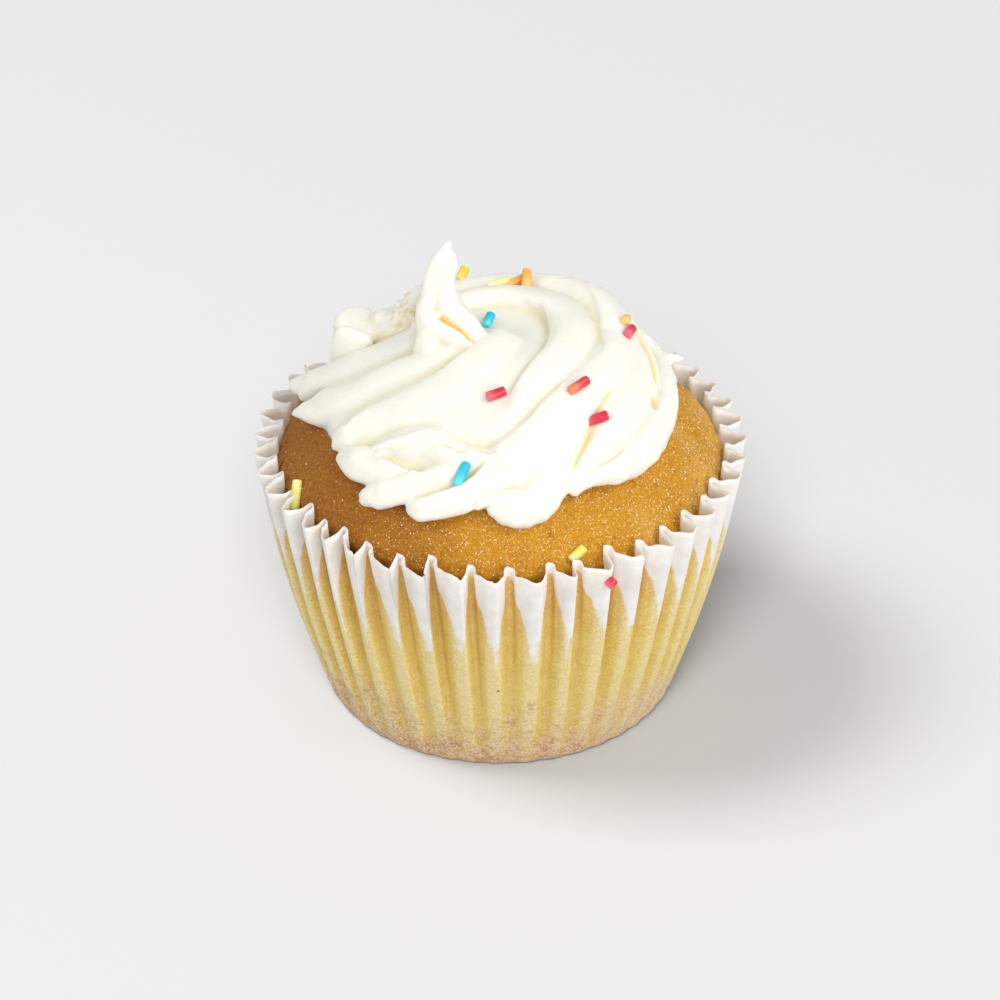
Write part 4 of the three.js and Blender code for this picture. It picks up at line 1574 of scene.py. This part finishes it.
@dataclass
class SugarGrains:
    """Fine grains of sugar dried onto the crust, thickest at the front."""

    count: int = 9000
    batch: int = 300
    smallest: float = 0.05
    largest: float = 0.15
    thick_side: float = -62.0

    def grain(self, heap: bmesh.types.BMesh, tree: BVHTree, sponge: Sponge, index: int) -> None:
        """Add one grain to a heap, unless it falls where few lie.

        Args:
            heap: the shape that it is added to.
            tree: the crust's surface, in metres.
            sponge: the sponge's sizes.
            index: the grain's number.
        """
        azimuth = 180.0 * draw(index, 31)
        share = lerp(0.6, 0.995, math.sqrt(0.5 + 0.5 * draw(index, 32)))
        away = abs((azimuth - self.thick_side + 180.0) % 360.0 - 180.0)
        if 0.5 + 0.5 * draw(index, 33) > lerp(1.0, 0.06, smoothstep(away, 30.0, 85.0)):
            return
        spot = polar(share * sponge.edge_radius * MM, azimuth, 0.12)
        point, normal, _, _ = tree.ray_cast(spot, Vector((0, 0, -1)))
        if point is None:
            return
        size = lerp(self.smallest, self.largest, (0.5 + 0.5 * draw(index, 34)) ** 2)
        axis = Vector((draw(index, 35), draw(index, 36), draw(index, 37))).normalized()
        turn = Quaternion(axis, 3.0 * draw(index, 38))
        matrix = Matrix.Translation(point / MM + normal * size * 0.3) @ turn.to_matrix().to_4x4()
        bmesh.ops.create_cube(heap, size=size, matrix=matrix)

    def build(self, sponge: Sponge, surface: bpy.types.Object) -> bpy.types.Object:
        """Scatter the grains over the part of the crust that shows.

        Args:
            sponge: the sponge's sizes.
            surface: its piece.

        Returns:
            The grains as one piece.
        """
        tree = surface_of(surface)
        heaps = []
        for start in range(0, self.count, self.batch):
            heaps.append(bmesh.new())
            for i in range(start, start + self.batch):
                self.grain(heaps[-1], tree, sponge, i)
        piece = finished("sugar_grains", joined(heaps))
        piece.data.polygons.foreach_set("use_smooth", [False] * len(piece.data.polygons))
        piece.data.materials.append(GrainFinish().material())
        return piece


# ---- studio --------------------------------------------------------------------------------------


@dataclass(frozen=True)
class Lamp:
    """A square soft light: where it hangs, what it is aimed at, its size and its strength."""

    name: str
    place: tuple[float, float, float]
    aim: tuple[float, float, float]
    size: float
    power: float


@dataclass
class Studio:
    """The pale floor, the soft lights and the camera. Sizes are metres."""

    floor_size: float = 3.0
    rim_height: float = 0.0388
    centre_height: float = 0.0287
    elevation: float = 32.9
    distance: float = 0.6
    lens: float = 151.7
    sensor: float = 36.0
    sky: float = 0.55
    lamps: tuple[Lamp, ...] = (
        Lamp("key", (1.5, -0.6, 2.0), (0.0, 0.0, 0.03), 0.8, 19.5),
        Lamp("fill", (0.8, -1.9, 0.8), (0.0, 0.0, 0.03), 1.4, 23.5),
        Lamp("left_fill", (-1.4, -0.4, 1.6), (0.0, 0.0, 0.03), 1.2, 11.0),
    )
    floor_lamps: tuple[Lamp, ...] = (
        Lamp("floor_left", (-2.4, 0.1, 3.5), (0.03, 0.0, 0.0), 1.7, 185.0),
        Lamp("floor_front", (-0.3, -3.6, 3.4), (0.0, 0.0, 0.0), 2.0, 400.0),
    )

    def lamp(self, spec: Lamp) -> bpy.types.Object:
        """Hang one light.

        Args:
            spec: the light.

        Returns:
            Its object.
        """
        data = bpy.data.lights.new(spec.name, "AREA")
        data.size = spec.size
        data.energy = spec.power
        light = bpy.data.objects.new(spec.name, data)
        light.location = spec.place
        beam = Vector(spec.aim) - Vector(spec.place)
        light.rotation_euler = beam.to_track_quat("-Z", "Y").to_euler()
        bpy.context.scene.collection.objects.link(light)
        return light

    def floor(self) -> bpy.types.Object:
        """Lay the floor.

        Returns:
            Its object.
        """
        shape = bmesh.new()
        bmesh.ops.create_grid(shape, x_segments=1, y_segments=1, size=self.floor_size / MM)
        piece = finished("floor", shape)
        piece.data.materials.append(FloorFinish().material())
        return piece

    def camera(self) -> None:
        """Set up the camera at the viewing angle."""
        rise = math.radians(self.elevation)
        height = self.rim_height + self.distance * math.sin(rise)
        place = Vector((0.0, -self.distance * math.cos(rise), height))
        data = bpy.data.cameras.new("camera")
        data.lens = self.lens
        data.sensor_width = self.sensor
        data.clip_start = 0.05
        camera = bpy.data.objects.new("camera", data)
        camera.location = place
        aim = Vector((0.0, 0.0, self.centre_height)) - place
        camera.rotation_euler = aim.to_track_quat("-Z", "Y").to_euler()
        bpy.context.scene.collection.objects.link(camera)
        bpy.context.scene.camera = camera

    def build(self) -> None:
        """Set up the camera, the floor, the sky and the lights.

        The floor has lamps of its own and the object's lamps leave it out, so it stays evenly pale.
        """
        self.camera()
        floor = self.floor()
        world = bpy.data.worlds.new("soft_sky")
        world.use_nodes = True
        background = world.node_tree.nodes["Background"]
        background.inputs["Color"].default_value = (1.0, 1.0, 1.0, 1.0)
        background.inputs["Strength"].default_value = self.sky
        bpy.context.scene.world = world
        for specs, state in ((self.lamps, "EXCLUDE"), (self.floor_lamps, "INCLUDE")):
            group = bpy.data.collections.new("floor_" + state.lower())
            group.objects.link(floor)
            group.collection_objects[0].light_linking.link_state = state
            for spec in specs:
                self.lamp(spec).light_linking.receiver_collection = group
        bpy.context.scene.view_settings.view_transform = "Standard"


# ---- assembly ------------------------------------------------------------------------------------


def mount(piece: bpy.types.Object, slot: str, *nodes: str) -> None:
    """Fix a piece to the body and hide the nodes of the frame that it stands for.

    Args:
        piece: the piece.
        slot: its material slot, which is not used.
        *nodes: the nodes of the frame that it replaces.
    """
    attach(piece, BODY)
    if nodes:
        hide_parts(*nodes)
    LOG.info("%s: %d vertices, %d faces", piece.name, len(piece.data.vertices), len(piece.data.polygons))


def main() -> None:
    """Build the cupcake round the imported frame."""
    logging.basicConfig(level=logging.INFO, format="%(name)s %(message)s")
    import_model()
    Studio().build()
    case = PaperCase()
    sponge = Sponge()
    swirl = Swirl()
    paper = case.build()
    mount(paper, "paper", "paper_case")
    crust = sponge.build(case)
    mount(crust, "sponge", "cake")
    grains = SugarGrains().build(sponge, crust)
    mount(grains, "sponge")
    cream = swirl.build(sponge)
    mount(cream, "cream", "cream")
    surfaces = {"cream": cream, "cake": crust, "paper_case": paper}
    for piece in Sprinkles().build(surfaces, swirl):
        mount(piece, "cream")


if __name__ == "__main__":
    main()
